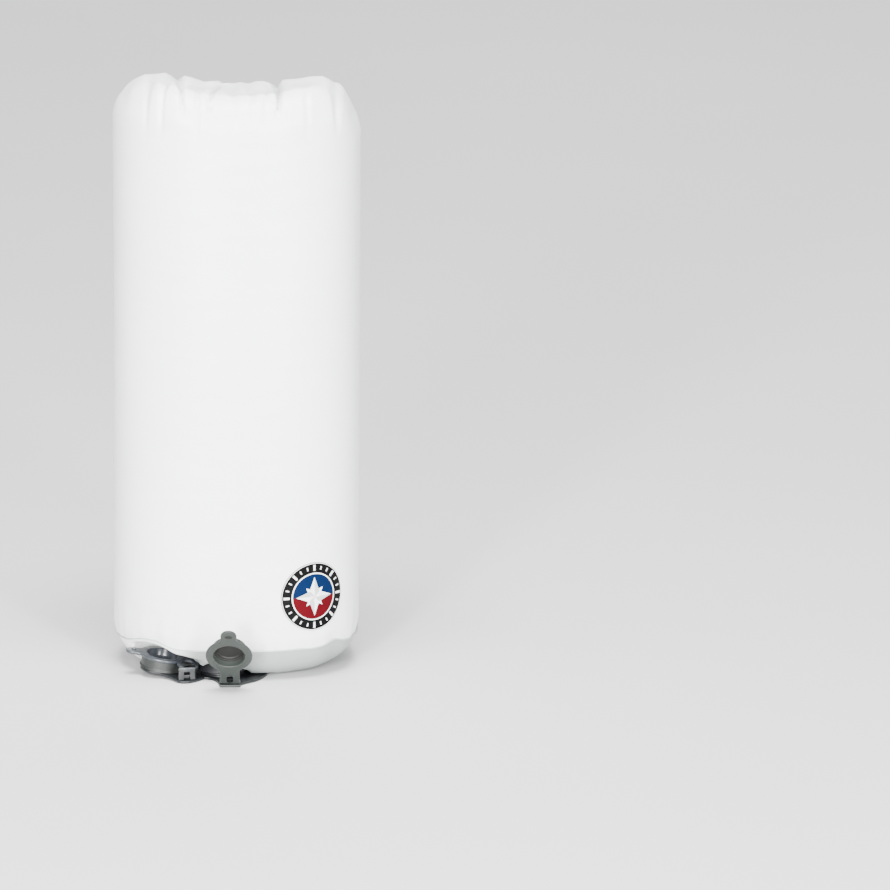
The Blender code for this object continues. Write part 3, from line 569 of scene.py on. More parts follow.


# Folds over the top: place along X at the front edge, drift per mm of depth, half width,
# depth, lean, painted shade and whether it stays on the very top; millimetres
CROWN_FOLDS = [
    (35.0, -0.02, 7.0, 7.0, -0.9, 0.95, True),
    (-46.5, -0.06, 7.0, 4.5, 0.8, 0.75, True),
    (-22.0, 0.14, 4.0, 3.2, 0.9, 0.80, True),
    (-33.0, 0.05, 8.0, 1.6, 0.4, 0.14, False),
    (-4.0, 0.0, 9.0, 1.5, 0.4, 0.10, False),
    (13.0, -0.04, 7.0, 1.5, -0.4, 0.12, False),
    (24.0, 0.04, 6.0, 1.4, 0.5, 0.12, False),
    (-63.0, 0.12, 9.0, 2.0, 0.6, 0.20, False),
    (-76.0, 0.10, 8.0, 1.3, -0.5, 0.12, False),
    (58.0, -0.10, 12.0, 1.4, 0.5, 0.08, False),
    (84.0, -0.05, 9.0, 2.0, 0.7, 0.14, False),
]


def crown_folds(x, y, z):
    """Gathers where the fabric closes over the top, as (offset, painted shade in the folds)."""
    near_top = smoothstep(462 * MM, 494 * MM, z)
    very_top = smoothstep(484 * MM, 500 * MM, z)
    on_top = smoothstep(-74 * MM, -30 * MM, y)
    offset = 1.3 * MM * noise.noise(Vector((x * 75, y * 30, z * 22))) * near_top
    shade = 0.0
    for at, drift, width, depth, lean, dark, stays_on_top in CROWN_FOLDS:
        middle = (at + drift * (y / MM + 70)) * MM
        spread = width * (0.35 + 0.65 * on_top) * MM
        dip = groove(x, middle, spread, lean)
        fade = very_top if stays_on_top else near_top
        offset -= dip * depth * MM * fade
        shade += dark * dip ** 2 * fade * (0.4 + 0.6 * on_top)
    return offset, min(shade, 1.0)


def body_ripple(x, y, z):
    """Slight unevenness of the blown-up tube, and gathers just above the base seam."""
    offset = 0.9 * MM * noise.noise(Vector((x * 14, y * 14, z * 5)))
    offset += 0.28 * MM * noise.noise(Vector((x * 30, y * 30, z * 120 + 3.0)))
    low = 1 - smoothstep(30 * MM, 75 * MM, z)
    offset += 1.0 * MM * low * noise.noise(Vector((x * 95, y * 95, z * 18 + 7.0)))
    return offset


def wall_point(x, y, z, outward):
    """A point of the wall's skin moved along its outward direction by its folds."""
    push = crown_folds(x, y, z)[0] + body_ripple(x, y, z)
    return Vector((x, y, z)) + outward * push


def sack_rings():
    """Rings of points from the seam up and over the top."""
    angles = even_turn(AROUND)
    rings = []
    rows = 8
    for k in range(rows):
        height = SEAM_Z + GAP + (CORNER - SEAM_Z) * k / rows
        reach = CORNER - height
        scale = FLAT_SHARE + math.sqrt(CORNER ** 2 - reach ** 2) / HALF_WIDTH
        rings.append([lifted(*oval(a, scale), height) for a in angles])
    rows = 110
    for k in range(rows + 1):
        ring = []
        for a in angles:
            x, y = oval(a)
            ring.append(lifted(x, y, CORNER + k / rows * (top_height(x, y) - CORNER)))
        rings.append(ring)
    rows = 34
    turns = [math.pi / 2 * k / rows for k in range(1, rows + 1)]
    scales = [TOP_FLAT_SHARE + (1 - TOP_FLAT_SHARE) * math.cos(turn) for turn in turns]
    scales += [TOP_FLAT_SHARE * (1 - k / TOP_BANDS) for k in range(1, TOP_BANDS)]
    for scale in scales:
        rings.append([(*oval(a, scale), top_height(*oval(a, scale))) for a in angles])
    return rings + [[(0.0, 0.0, top_height(0, 0))]]


def grid_normals(rings):
    """Outward direction at each point of the rings."""
    upward = Vector((0, 0, 1))
    made = []
    for row, ring in enumerate(rings):
        below = rings[max(row - 1, 0)]
        above = rings[min(row + 1, len(rings) - 1)]
        line = []
        for k in range(len(ring)):
            after = Vector(ring[(k + 1) % len(ring)]) - Vector(ring[k - 1])
            up = Vector(above[k % len(above)]) - Vector(below[k % len(below)])
            normal = after.cross(up)
            line.append(normal.normalized() if normal.length else upward)
        made.append(line)
    return made


def lay_cloth(bm, rings):
    """Give the wall UVs in metres along the cloth, unbroken where each ring closes."""
    uv = bm.loops.layers.uv.new("cloth")
    places = {}
    for row, ring in enumerate(rings):
        for k, vert in enumerate(ring):
            places[vert] = (k / AROUND * WALL_ROUND, row * 4 * MM)
    for face in bm.faces:
        around = [places[vert][0] for vert in face.verts]
        wraps = max(around) - min(around) > WALL_ROUND / 2
        for loop in face.loops:
            u, v = places[loop.vert]
            loop[uv].uv = (u + WALL_ROUND if wraps and u < WALL_ROUND / 2 else u, v)


def press_down(piece):
    """Give a piece its own copy of its mesh."""
    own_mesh(piece)


def add_sack():
    rings = sack_rings()
    bm = bmesh.new()
    painted_shade = bm.verts.layers.float.new("painted_shade")
    made = []
    for ring, outs in zip(rings, grid_normals(rings)):
        line = [bm.verts.new(wall_point(*point, out)) for point, out in zip(ring, outs)]
        # Each vertex keeps the painted shade of the folds over the top
        for vert, point in zip(line, ring):
            vert[painted_shade] = crown_folds(*point)[1]
        made.append(line)
    for ring, following in zip(made, made[1:]):
        for k in range(AROUND):
            after = (k + 1) % AROUND
            if len(following) == 1:
                bm.faces.new((ring[k], ring[after], following[0]))
            else:
                bm.faces.new((ring[k], ring[after], following[after], following[k]))
    lay_cloth(bm, made)
    sack = add_piece("sack_skin", bm, NYLON, 60, outward=False)
    thicken(sack, SHEET)
    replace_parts(sack, "sack_wall", "side_seam_tape")
    press_down(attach(sack, "sack"))


def seam_share():
    return FLAT_SHARE + math.sqrt(CORNER ** 2 - (CORNER - SEAM_Z) ** 2) / HALF_WIDTH


def base_rings():
    """Rings of points from the nozzle's neck out to the seam."""
    angles = even_turn(BASE_AROUND)
    foot = SKIRT_R + 0.7 * MM
    rings = []
    for radius in (NOZZLE_R + 1.2 * MM, NOZZLE_FLANGE_R + 0.4 * MM, foot):
        ring = []
        for a in angles:
            x = PORT_A.x + radius * math.cos(a)
            y = PORT_A.y + radius * math.sin(a)
            ring.append(lifted(x, y, base_height(x, y)))
        rings.append(ring)
    rows = 40
    for row in range(1, rows + 1):
        share = 1 - (1 - row / rows) ** 1.5
        ring = []
        for a in angles:
            far_x, far_y = oval(a, seam_share())
            near_x = PORT_A.x + foot * math.cos(a)
            near_y = PORT_A.y + foot * math.sin(a)
            x = near_x + share * (far_x - near_x)
            y = near_y + share * (far_y - near_y)
            z = base_height(x, y)
            pleat = noise.noise(Vector((x * 60, y * 60, 5.0))) * smoothstep(4 * MM, 16 * MM, z)
            ring.append(lifted(x, y, z + 0.5 * MM * pleat * (1 - share ** 8)))
        rings.append(ring)
    return rings


def add_base():
    """Base panel, dented over the valve, with its pleats."""
    bm = bmesh.new()
    painted_shade = bm.verts.layers.float.new("painted_shade")
    made = [[bm.verts.new(p) for p in ring] for ring in base_rings()]
    # Painted shade on the base panel, growing from x = -62 mm to full at -30 mm
    for vert in bm.verts:
        vert[painted_shade] = 0.95 * smoothstep(-62 * MM, -30 * MM, vert.co.x)
    skin(bm, made)
    panel = add_piece("sack_base", bm, BASE_NYLON, 60, outward=False)
    if panel.data.polygons[len(panel.data.polygons) // 2].normal.z > 0:
        panel.data.flip_normals()
    thicken(panel, SHEET)
    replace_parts(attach(panel, "sack"), "base_panel")


def add_weld():
    """The welded seam that joins the base to the wall, as a slightly lumpy bead."""
    bead = [(0.9 * math.cos(t), 0.45 * math.sin(t)) for t in even_turn(8)]
    bm = bmesh.new()
    rings = []
    for a in even_turn(BASE_AROUND):
        x, y = oval(a, seam_share())
        out = Vector((x / HALF_WIDTH ** 2, y / HALF_DEPTH ** 2, 0)).normalized()
        place = Vector(lifted(x, y, SEAM_Z + GAP / 2)) + out * 0.25 * MM
        up = Vector((0, 0, 1)) * 0.8 + out * 0.6
        across = out * 0.8 - Vector((0, 0, 1)) * 0.6
        lump = MM * (1 + 0.15 * noise.noise(Vector((x * 200, y * 200, 0))))
        rings.append([bm.verts.new(place + (across * u + up * v) * lump) for u, v in bead])
    skin(bm, rings + rings[:1])
    seam = add_piece("base_weld", bm, TAPE, 60)
    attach(seam, "sack")


# ---------------------------------------------------------------- badge

BADGE_TURN = math.asin((BADGE_AT_X / HALF_WIDTH) ** (OVAL_POWER / 2)) - math.pi / 2
BADGE_MIDDLE = Vector((*oval(BADGE_TURN), BADGE_Z))
BADGE_ACROSS = (Vector((*oval(BADGE_TURN + 0.01), BADGE_Z)) - BADGE_MIDDLE).normalized()


def badge_place(u, v, lift):
    """A point of the badge, u across and v up from its middle, lifted off the wall."""
    flat = BADGE_MIDDLE + BADGE_ACROSS * u
    angle = math.atan2(flat.y, flat.x)
    for _ in range(30):
        x, y = oval(angle)
        angle += 0.5 * (flat.xy - Vector((x, y))).dot(BADGE_ACROSS.xy) / HALF_WIDTH
    x, y = oval(angle)
    ahead = Vector((*oval(angle + 0.01), 0)) - Vector((*oval(angle - 0.01), 0))
    out = ahead.cross(Vector((0, 0, 1))).normalized()
    spot = Vector((x, y, BADGE_Z + v))
    return spot + out * (body_ripple(*spot) + lift)


def badge_print(name, grids, lift, material):
    """One printed layer of the badge, from grids of (u, v) points."""
    bm = bmesh.new()
    for grid in grids:
        made = [[bm.verts.new(badge_place(u, v, lift)) for u, v in line] for line in grid]
        skin(bm, made, closed=False)
    bmesh.ops.remove_doubles(bm, verts=bm.verts, dist=1e-6)
    piece = add_piece(name, bm, material, 60, outward=False)
    if piece.data.polygons[0].normal.y > 0:
        piece.data.flip_normals()
    thicken(piece, 0.25 * MM)
    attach(piece, "sack")
    press_down(piece)
    return piece


def ring_grid(inner, outer, steps, around=96, start=0.0, end=360.0):
    grid = []
    for k in range(around + 1):
        a = math.radians(start + (end - start) * k / around)
        line = []
        for j in range(steps + 1):
            r = inner + (outer - inner) * j / steps
            line.append((r * math.cos(a), r * math.sin(a)))
        grid.append(line)
    return grid


def arm_grid(turn, length, half, side):
    """One half of a compass star's arm, a narrow triangle from the middle to its tip."""
    widest = 0.24
    grid = []
    for k in range(9):
        t = k / 8
        width = half * (t / widest if t < widest else (1 - t) / (1 - widest))
        line = []
        for j in range(3):
            across = side * width * j / 2
            u = length * t * math.cos(turn) - across * math.sin(turn)
            v = length * t * math.sin(turn) + across * math.cos(turn)
            line.append((u, v))
        grid.append(line)
    return grid


def add_badge():
    """A generic compass badge: dark ring with ticks, two-coloured disc and a pale star."""
    middle = 0.3 * MM
    ground = ring_grid(middle, BADGE_RADIUS, 10)
    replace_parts(badge_print("badge_ground", [ground], 0.45 * MM, BADGE_BLACK), "badge_patch")
    rings = [
        ring_grid(BADGE_RADIUS - 0.9 * MM, BADGE_RADIUS - 0.4 * MM, 2),
        ring_grid(DISC_RADIUS, DISC_RADIUS + MM, 2),
    ]
    for k in range(24):
        inner, outer, half = (22.4, 27.4, 2.1) if k % 3 == 0 else (23.6, 26.4, 1.2)
        rings.append(ring_grid(inner * MM, outer * MM, 3, 4, 15 * k - half, 15 * k + half))
    badge_print("badge_rings", rings, 0.85 * MM, BADGE_WHITE)
    upper = ring_grid(middle, DISC_RADIUS, 8, 48, 0, 180)
    lower = ring_grid(middle, DISC_RADIUS, 8, 48, 180, 360)
    badge_print("badge_disc_blue", [upper], 0.8 * MM, BADGE_BLUE)
    badge_print("badge_disc_red", [lower], 0.8 * MM, BADGE_RED)
    bright, shaded = [], []
    for k in range(8):
        turn = math.radians(90 + 45 * k)
        length, half = (16.8 * MM, 4.8 * MM) if k % 2 == 0 else (11.0 * MM, 3.6 * MM)
        bright.append(arm_grid(turn, length, half, 1))
        (shaded if k % 2 == 0 else bright).append(arm_grid(turn, length, half, -1))
    badge_print("badge_star", bright, 1.1 * MM, BADGE_WHITE)
    badge_print("badge_star_shade", shaded, 1.14 * MM, BADGE_PALE)


# ---------------------------------------------------------------- valve

AT_PORT_A = Matrix.Translation(PORT_A)
AT_PORT_B = Matrix.Translation(PORT_B) @ Euler(PORT_B_TURN).to_matrix().to_4x4()
SEAL_Z = -FLANGE / 2 - PLUG_DEPTH / 2
DIMPLE_Y = TAB_END - 0.3 * MM
DIMPLE_HALF = (3.3 * MM, 2.1 * MM)


def cap_outline(strap_end):
    """Flange with its tab, and with its strap where strap_end says how far that reaches."""
    reach = FLANGE_R + FILLET
    tab_x = TAB_HALF + FILLET
    tab_y = math.sqrt(reach ** 2 - tab_x ** 2)
    tab_turn = math.degrees(math.atan2(tab_y, tab_x))
    right = []
    start = -90
    if strap_end:
        strap_x = STRAP_HALF + FILLET
        strap_y = math.sqrt(reach ** 2 - strap_x ** 2)
        start = -math.degrees(math.atan2(strap_y, strap_x))
        right += [(STRAP_HALF + 0.6 * MM, -strap_end), (STRAP_HALF, -strap_end + 5 * MM)]
        right += arc((strap_x, -strap_y), FILLET, 180, start + 180, 8)
    right += arc((0, 0), FLANGE_R, start, tab_turn, 56)[bool(strap_end):]
    right += arc((tab_x, tab_y), FILLET, tab_turn + 180, 180, 8)[1:]
    right += arc((0, TAB_END), TAB_HALF, 0, 90, 14)
    left = [(-x, y) for x, y in reversed(right[:-1])]
    if not strap_end:
        left = left[:-1]
    return right + left


def recess_bm():
    top = FLANGE / 2
    floor = -FLANGE / 2 - PLUG_DEPTH + 1.3 * MM
    step = floor + 2.6 * MM
    profile = [(0, top + 1 * MM), (RECESS_R + 0.9 * MM, top + 1 * MM)]
    profile += arc((RECESS_R + 0.9 * MM, top - 0.9 * MM), 0.9 * MM, 90, 180, 5)
    profile += [(RECESS_R - 0.4 * MM, step + 0.4 * MM), (RECESS_R - 0.6 * MM, step)]
    profile += [(RECESS_R - 1.7 * MM, step - 0.1 * MM), (RECESS_R - 2.0 * MM, step - 0.4 * MM)]
    profile += [(RECESS_R - 2.1 * MM, floor + 0.8 * MM), (RECESS_R - 2.9 * MM, floor), (0, floor)]
    return turned(profile)


def plug_bm():
    foot = -FLANGE / 2 - PLUG_DEPTH
    middle = foot + PLUG_DEPTH / 2
    top = FLANGE / 2 - 0.7 * MM
    neck = PLUG_R - 0.7 * MM
    return turned(rounded([
        (0, foot), (PLUG_R - 0.3 * MM, foot), (PLUG_R, foot + 0.9 * MM), (PLUG_R, middle - 1 * MM),
        (neck, middle - 1 * MM), (neck, middle + 1 * MM), (PLUG_R, middle + 1 * MM),
        (PLUG_R, top), (0, top),
    ], 0.4 * MM))


def dimple_bm():
    """Turned with a radius of 1, and then stretched to the dimple's size on the tab."""
    bm = turned([
        (0, 2 * MM), (1.0, 2 * MM), (1.0, -0.2 * MM), (0.9, -0.6 * MM), (0.6, -0.9 * MM), (0, -1 * MM),
    ])
    bm.transform(Matrix.Translation((0, DIMPLE_Y, FLANGE / 2)) @ Matrix.Diagonal((*DIMPLE_HALF, 1, 1)))
    return bm


def oval_disc_bm(centre, half, thick):
    bm = turned([(1.0, -thick), (1.0, thick), (0, thick), (0, -thick)])
    bm.transform(Matrix.Translation(centre) @ Matrix.Diagonal((*half, 1, 1)))
    return bm


def cutter(bm, matrix):
    bm.transform(matrix)
    return add_piece("cutter", bm, None)


def add_cap(name, at_flange, outline, material, recess_shade_material, tab_turn, extra):
    """A cap with rounded flange, plug, stepped recess and tab dimple, and one more carving step."""
    bm = extruded(outline, -FLANGE / 2, FLANGE / 2)
    bm.transform(at_flange)
    cap = add_piece(name, bm, material)
    soften(cap, 0.75 * MM, 4, 50)
    cap.data.materials.append(recess_shade_material)
    carve(cap, [
        ("UNION", cutter(plug_bm(), at_flange)),
        extra,
        ("DIFFERENCE", cutter(recess_bm(), at_flange)),
        ("DIFFERENCE", cutter(dimple_bm(), at_flange @ tab_turn)),
    ])
    from_flange = at_flange.inverted()
    from_tab = (at_flange @ tab_turn).inverted()
    rim = FLANGE / 2 - 0.05 * MM
    # Polygons of the recess floor and of the tab's dimple take the second material, on the open cap a
    # painted shade
    for polygon in cap.data.polygons:
        at = from_flange @ polygon.center
        in_recess = math.hypot(at.x, at.y) < RECESS_R - 0.5 * MM
        if in_recess and 1 * MM - FLANGE / 2 - PLUG_DEPTH < at.z < rim:
            polygon.material_index = 1
        at = from_tab @ polygon.center
        in_dimple = math.hypot(at.x / DIMPLE_HALF[0], (at.y - DIMPLE_Y) / DIMPLE_HALF[1]) < 0.96
        if in_dimple and 0 < at.z < rim:
            polygon.material_index = 1
    return cap


def add_seal(name, radius, height, matrix, body, node):
    bm = turned(arc((radius, height), SEAL_THICK, 0, 330, 11))
    bm.transform(matrix)
    ring = add_piece(name, bm, SEAL)
    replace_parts(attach(ring, body), node)


def add_open_cap():
    turn = Euler(CAP_A_TURN).to_matrix()
    at_hinge = Matrix.Translation(CAP_A_HINGE) @ turn.to_4x4()
    at_flange = at_hinge @ Matrix.Translation((0, STRAP_REACH, 0))
    slot = arc((0, SLOT_ENDS[1] - SLOT_HALF), SLOT_HALF, 0, 180, 16)
    slot += arc((0, SLOT_ENDS[0] + SLOT_HALF), SLOT_HALF, 180, 360, 16)
    through = ("DIFFERENCE", cutter(extruded(slot, -4 * MM, 4 * MM), at_hinge))
    upright = Matrix.Identity(4)
    outline = cap_outline(STRAP_REACH)
    cap = add_cap("open_cap", at_flange, outline, CAP_GREY, CAP_RECESS_SHADE, upright, through)
    cap.data.materials.append(SLOT_SHADOW)
    # Walls of the strap's slot take the painted slot shadow
    from_hinge = at_hinge.inverted()
    for polygon in cap.data.polygons:
        at = from_hinge @ polygon.center
        in_slot = abs(at.x) < SLOT_HALF + 0.1 * MM and 1 * MM < at.y < SLOT_ENDS[1] + 0.1 * MM
        if in_slot and abs(at.z) < FLANGE / 2 - 0.05 * MM:
            polygon.material_index = 2
    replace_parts(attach(cap, "inflate_cap"), "inflate_cap")
    add_seal("open_cap_seal", PLUG_R + SEAL_PROUD, SEAL_Z, at_flange, "inflate_cap", "inflate_cap_seal")


def add_closed_cap():
    level = COLLAR_TOP + GAP + FLANGE / 2
    at_flange = AT_PORT_B @ Matrix.Translation((0, 0, level))
    to_tab = Matrix.Rotation(CAP_B_TAB_TURN, 4, "Z")
    outline = [tuple((to_tab @ Vector((x, y, 0))).xy) for x, y in cap_outline(0)]
    thick = 0.95 * MM
    loop = ("UNION", cutter(oval_disc_bm(LOOP_CENTRE, LOOP_HALF, thick), at_flange))
    # The closed cap wears the cap grey with its painted sky reflection
    cap = add_cap("closed_cap", at_flange, outline, CAP_B_SKY_REFLECTION_GREY, CAP_B_SKY_REFLECTION_GREY, to_tab, loop)
    window = cutter(oval_disc_bm(WINDOW_CENTRE, WINDOW_HALF, 3 * thick), at_flange)
    inside_flange = oval_disc_bm((0, 0, 0), (FLANGE_R - 1.5 * MM, FLANGE_R - 1.5 * MM), 4 * MM)
    carve(window, [("DIFFERENCE", cutter(inside_flange, at_flange))])
    carve(cap, [("DIFFERENCE", window)])
    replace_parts(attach(cap, "deflate_cap"), "deflate_cap")
    add_strap_legs()
    add_seal("closed_cap_seal", PLUG_R + SEAL_PROUD, SEAL_Z, at_flange, "deflate_cap", "deflate_cap_seal")


def add_strap_legs():
    """The two legs and the crossbar that bring the closed cap's strap down to the plate."""
    matrix = Matrix.Translation(CAP_B_HINGE) @ Matrix.Rotation(CAP_B_LEG_TURN, 4, "Z")
    outline = [
        (-7.2, -2.2), (-2.6, -2.2), (-2.6, 4.6), (2.6, 4.6), (2.6, -2.2), (7.2, -2.2),
        (7.2, 4.9), (6.6, 5.4), (7.4, 5.9), (7.4, 7.6), (6.6, 8.4),
        (-6.6, 8.4), (-7.4, 7.6), (-7.4, 5.9), (-6.6, 5.4), (-7.2, 4.9),
    ]
    bm = extruded([(x * MM, z * MM) for x, z in outline], -0.95 * MM, 0.95 * MM)
    bm.transform(matrix @ Matrix.Rotation(math.pi / 2, 4, "X"))
    legs = add_piece("closed_cap_legs", bm, CLIP_GREY)
    soften(legs, 0.4 * MM, 3, 30)
    rung = cutter(block((-3 * MM, -0.4 * MM, 1.0 * MM), (3 * MM, 0.7 * MM, 1.9 * MM)), matrix)
    carve(legs, [("UNION", rung)])
    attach(legs, "deflate_cap")


def bend_to_plate(x, z):
    run = PLATE_BEND_X - x
    if run <= 0:
        return x, z
    across = run - z * math.sin(PORT_B_TILT)
    return PLATE_BEND_X - across * math.cos(PORT_B_TILT), z + run * math.sin(PORT_B_TILT)


def add_plate():
    """The valve's plate, bent below the closed port, and its tongue under the open cap's strap."""
    outline = [(-27.5, -76.5), (-21.5, -79), (-17, -88), (-15.2, -97)]
    outline += [(-14.6, -101.4), (-13.2, -102.7), (1.6, -102.7), (3.2, -101.2), (4.6, -96)]
    outline += [(17, -83.5), (23.5, -70), (26, -58), (22, -45)]
    outline += arc((PORT_A.x / MM, PORT_A.y / MM), 27, 70, 120, 4)
    outline += [(-36, -36)]
    outline += arc((PORT_B.x / MM, PORT_B.y / MM), 17.8, 60, 235, 10)
    outline += [(-66, -74.0), (-60, -77.5), (-53, -85)]
    outline += arc((-44.5, -81.5), 9.5, 215, 300, 5)
    outline += [(-33.5, -84.5)]
    smooth = smooth_route([Vector((x, y)) * MM for x, y in outline + outline[:1]], 6)[:-1]
    bm = extruded([tuple(point) for point in smooth], 0.0, PLATE)
    plate = add_piece("valve_base", bm, SLATE)
    soften(plate, 0.7 * MM, 3, 50)
    bm = bmesh.new()
    bm.from_mesh(plate.data)
    bmesh.ops.triangulate(bm, faces=[f for f in bm.faces if len(f.verts) > 4])
    bmesh.ops.bisect_plane(
        bm, geom=bm.verts[:] + bm.edges[:] + bm.faces[:],
        plane_co=(PLATE_BEND_X, 0, 0), plane_no=(1, 0, 0), dist=1e-7,
    )
    for vert in bm.verts:
        vert.co.x, vert.co.z = bend_to_plate(vert.co.x, vert.co.z)
    bm.to_mesh(plate.data)
    bm.free()
    hole = [(0, -5 * MM), (PLATE_HOLE_R, -5 * MM), (PLATE_HOLE_R, 8 * MM), (0, 8 * MM)]
    carve(plate, [("DIFFERENCE", cutter(turned(hole), at)) for at in (AT_PORT_A, AT_PORT_B)])
    plate.data.materials.append(CAP_GREY)
    for polygon in plate.data.polygons:
        at = polygon.center - CAP_A_HINGE
        if abs(at.x) < STRAP_HALF + 1.5 * MM and at.y < 1 * MM:
            polygon.material_index = 1
    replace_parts(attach(plate, "valve"), "valve_plate")


def add_ports():
    foot = PLATE + GAP
    rim = COLLAR_R + 0.9 * MM
    profile = rounded([
        (BORE_R, foot), (rim, foot), (rim, foot + 0.8 * MM), (COLLAR_R, foot + 1.8 * MM),
        (COLLAR_R, COLLAR_TOP), (BORE_R, COLLAR_TOP),
    ], 0.5 * MM)
    # Port A's ring is given the plate's dark slate as painted shade, darker than port B's ring
    for name, node, at, material in (
        ("port_ring_a", "inflate_port", AT_PORT_A, SLATE),
        ("port_ring_b", "deflate_port", AT_PORT_B, PORT_GREY),
    ):
        bm = turned(profile)
        bm.transform(at)
        port = add_piece(name, bm, material)
        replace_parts(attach(port, "valve"), node)


def add_nozzle():
    """Dark stub and skirted flange under the sack, and its O-ring."""
    under = COLLAR_TOP + GAP
    over = under + NOZZLE_FLANGE
    end = BASE_OVER_NOZZLE + 6 * MM
    groove_foot, groove_top = 7.4 * MM, 9.4 * MM
    groove_r = NOZZLE_R - 0.7 * MM
    profile = rounded([
        (NOZZLE_BORE_R, NOZZLE_TIP_Z), (NOZZLE_R - 0.6 * MM, NOZZLE_TIP_Z),
        (NOZZLE_R, NOZZLE_TIP_Z + 0.8 * MM), (NOZZLE_R, groove_foot), (groove_r, groove_foot),
        (groove_r, groove_top), (NOZZLE_R, groove_top), (NOZZLE_R, under), (COLLAR_R + 0.5 * MM, under),
        (SKIRT_R - 0.5 * MM, SKIRT_Z - 0.6 * MM), (SKIRT_R, SKIRT_Z + 0.4 * MM),
        (NOZZLE_FLANGE_R, over), (NOZZLE_R, over), (NOZZLE_R, end), (NOZZLE_BORE_R, end),
    ], 0.35 * MM)
    bm = turned(profile)
    bm.transform(AT_PORT_A)
    nozzle = add_piece("nozzle_body", bm, NOZZLE_SLATE)
    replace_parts(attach(nozzle, "sack"), "outlet_nozzle")
    middle = (groove_foot + groove_top) / 2
    add_seal("nozzle_o_ring", NOZZLE_R + 0.3 * MM, middle, AT_PORT_A, "sack", "nozzle_seal")


# ---------------------------------------------------------------- rolled mouth and buckle

def roll_stations():
    """Places along the roll, each with the directions across it and outwards."""
    foot_z = 395 * MM
    right = smooth_route([Vector(p) * MM for p in ROLL_ROUTE], 5)
    left = [Vector((-p.x, p.y, p.z)) for p in reversed(right[1:])]
    route = left + right
    stations = []
    for k, place in enumerate(route):
        ahead = route[min(k + 1, len(route) - 1)]
        behind = route[max(k - 1, 0)]
        along = (ahead - behind).normalized()
        out = Vector((place.x * 0.6, place.y, 0.75 * max(place.z - foot_z, 0.0)))
        out = (out - along * out.dot(along)).normalized()
        stations.append((place, along.cross(out), out))
    return stations


def add_roll():
    """The spiral of rolled fabric, with slight dents that grow towards its outside."""
    per_turn = 40
    count = int(ROLL_TURNS * per_turn)
    half_sheet = 0.5 * MM
    bm = bmesh.new()
    rings = []
    for row, (place, across, out) in enumerate(roll_stations()):
        ring = []
        for offset, order in ((half_sheet, 1), (-half_sheet, -1)):
            for k in range(count + 1)[::order]:
                turn = 2 * math.pi * k / per_turn
                grown = ROLL_PITCH * k / per_turn + offset
                u = (ROLL_CORE_HALF + grown) * math.cos(turn)
                v = (ROLL_CORE_RISE + grown) * math.sin(turn)
                pull = noise.noise(Vector((row * 0.45, k * 0.09, 1.0)))
                pull += 0.6 * noise.noise(Vector((row * 1.1, k * 0.05, 9.0)))
                share = smoothstep(0, count, k)
                swell = 1 + 0.035 * pull * share
                ring.append(bm.verts.new(place + across * u * swell + out * v * swell))
        rings.append(ring)
    skin(bm, rings)
    for ring in (rings[0], rings[-1]):
        half = len(ring) // 2
        for k in range(half - 1):
            bm.faces.new((ring[k], ring[k + 1], ring[-2 - k], ring[-1 - k]))
    roll = add_piece("mouth_roll", bm, ROLL_NYLON, 50)
    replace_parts(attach(roll, "roll"), "rolled_mouth")


def add_strap(name, body, node, low, high):
    """Webbing with rounded edges, on the sack's side of the buckle."""
    half, thick = WEBBING_HALF
    section = rounded([(-half, -thick), (half, -thick), (half, thick), (-half, thick)], 0.6 * MM, 3)
    steps = 30
    bm = bmesh.new()
    rings = []
    for k in range(steps + 1):
        middle = Vector((BUCKLE.x + low + (high - low) * k / steps, WEBBING_Y, BUCKLE.z))
        rings.append([bm.verts.new(middle + Vector((0, v, u))) for u, v in section])
    skin(bm, rings)
    bm.faces.new(rings[0])
    bm.faces.new(rings[-1])
    strap = add_piece(name, bm, WEBBING)
    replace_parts(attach(strap, body), node)


def add_buckle_half(name, body, node, ends, steps):
    """A rounded block between two places along X, with blocks joined to it or cut from it."""
    at = Matrix.Translation(BUCKLE)
    left = (ends[0], -BUCKLE_HALF_DEPTH, -BUCKLE_HALF_HEIGHT)
    right = (ends[1], BUCKLE_HALF_DEPTH, BUCKLE_HALF_HEIGHT)
    bm = block(left, right)
    bm.transform(at)
    half = add_piece(name, bm, BUCKLE_BLACK)
    soften(half, 1.3 * MM, 4)
    carve(half, [
        (operation, cutter(block(Vector(low) * MM, Vector(top) * MM), at))
        for operation, low, top in steps
    ])
    soften(half, 0.3 * MM, 2, 60)
    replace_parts(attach(half, body), node)


def add_buckle():
    add_buckle_half("buckle_shell", "roll", "buckle_socket", (-17 * MM, 8 * MM), [
        ("DIFFERENCE", (-11, -2.7, -9.6), (10, 2.7, 9.6)),
        ("DIFFERENCE", (-8, -2.7, -14.5), (3, 2.7, 14.5)),
        ("DIFFERENCE", (-15, -5.2, -10.3), (-12.5, 5.2, 10.3)),
    ])
    prongs = [
        ("UNION", (-8, -2.3, low), (10.3, 2.3, top))
        for low, top in ((-9.2, -5.8), (-1.6, 1.6), (5.8, 9.2))
    ]
    strap_slot = ("DIFFERENCE", (15, -5.2, -10.3), (17.5, 5.2, 10.3))
    ends = (8 * MM + GAP, 20 * MM)
    add_buckle_half("buckle_tongue", "buckle_plug", "buckle_plug", ends, prongs + [strap_slot])
    add_strap("webbing_left", "roll", "left_strap", -48 * MM, -12 * MM)
    add_strap("webbing_right", "buckle_plug", "right_strap", 14 * MM, 48 * MM)


# ---------------------------------------------------------------- carried-over CAD nodes

def dress_cad():
    # The inflate strap's anchor, seen through the slot, wears the painted slot shadow
    looks = {
        "flap_seat": PORT_GREY, "one_way_flap": FLAP_SKIN, "inflate_strap_anchor": SLOT_SHADOW,
        "deflate_strap_anchor": SLATE, "base_seam_tape": TAPE,
        "nozzle_backing_ring": NOZZLE_SLATE, "mouth_stiffener": STIFFENER,
    }
    for node, material in looks.items():
        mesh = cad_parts[node].data
        mesh.materials.clear()
        mesh.materials.append(material)


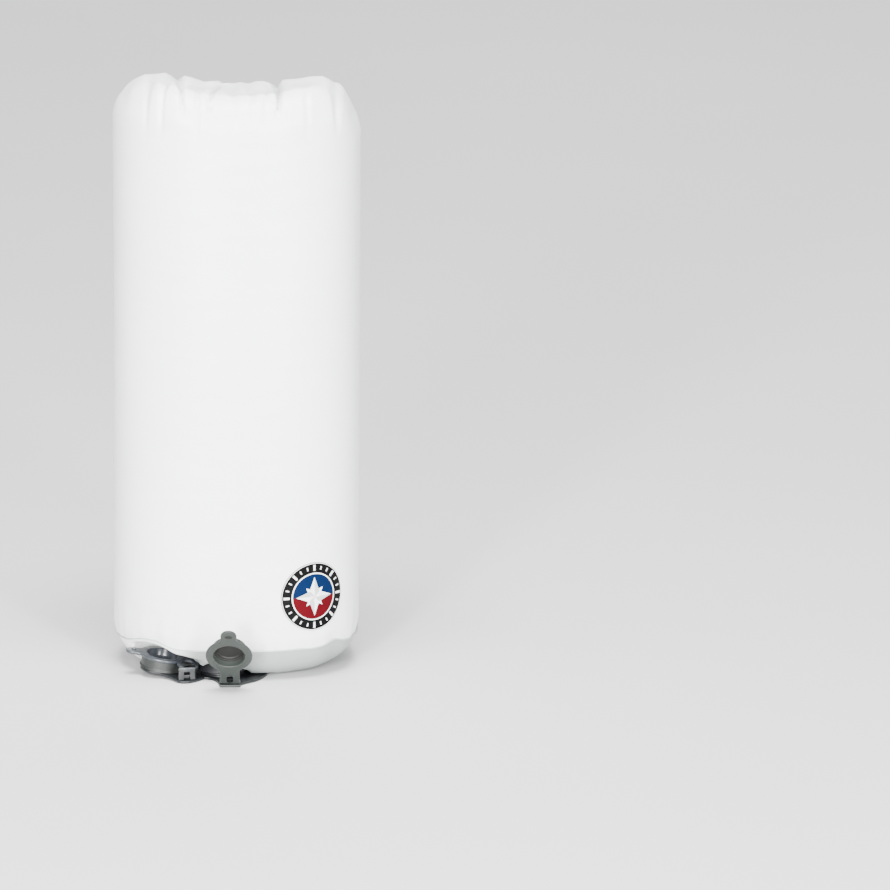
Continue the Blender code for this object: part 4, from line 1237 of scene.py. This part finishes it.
# ---------------------------------------------------------------- stage, lights, camera

def add_stage():
    bm = block((-3.0, -3.0, -0.02), (3.0, 5.0, -0.0002))
    s = Shader("pale floor", Roughness=0.9)
    shade = s.ramp(s.cloud(2.0, 2.0), [(0.3, (0.52, 0.52, 0.52)), (0.7, (0.54, 0.54, 0.54))])
    floor = add_piece("floor", bm, s.finish(shade))
    world = bpy.data.worlds.new("studio")
    bpy.context.scene.world = world
    world.use_nodes = True
    back = world.node_tree.nodes["Background"]
    back.inputs["Color"].default_value = (1.0, 1.0, 1.0, 1.0)
    back.inputs["Strength"].default_value = 0.3


def add_light(name, place, target, size, power):
    data = bpy.data.lights.new(name, "AREA")
    data.shape = "RECTANGLE"
    data.size, data.size_y = size
    data.energy = power
    light = bpy.data.objects.new(name, data)
    bpy.context.collection.objects.link(light)
    light.visible_camera = False
    light.location = place
    light.rotation_euler = (Vector(target) - Vector(place)).to_track_quat("-Z", "Y").to_euler()


def add_camera():
    data = bpy.data.cameras.new("camera")
    data.sensor_width = 36.0
    data.lens = 315.5
    camera = bpy.data.objects.new("camera", data)
    bpy.context.collection.objects.link(camera)
    camera.location = (0.0, -6.5, 1.693)
    aim = Vector((0.178, 0.0, 0.187)) - camera.location
    upright = Matrix.Rotation(math.radians(0.36), 4, "Z")
    camera.rotation_euler = (aim.to_track_quat("-Z", "Y").to_matrix().to_4x4() @ upright).to_euler()
    bpy.context.scene.camera = camera


add_stage()
add_light("left strip", (-0.75, -2.7, 0.75), (0, 0, 0.25), (0.30, 1.5), 225)
add_light("right strip", (1.05, -2.6, 0.75), (0, 0, 0.25), (0.28, 1.5), 155)
add_light("top", (0.0, -0.9, 3.0), (0, 0, 0.4), (1.6, 1.2), 270)
add_light("far floor", (0.6, 3.2, 3.4), (0.3, 3.0, 0), (3.4, 2.6), 250)
add_camera()
add_sack()
add_base()
add_weld()
add_badge()
add_plate()
add_ports()
add_nozzle()
add_open_cap()
add_closed_cap()
add_roll()
add_buckle()
dress_cad()
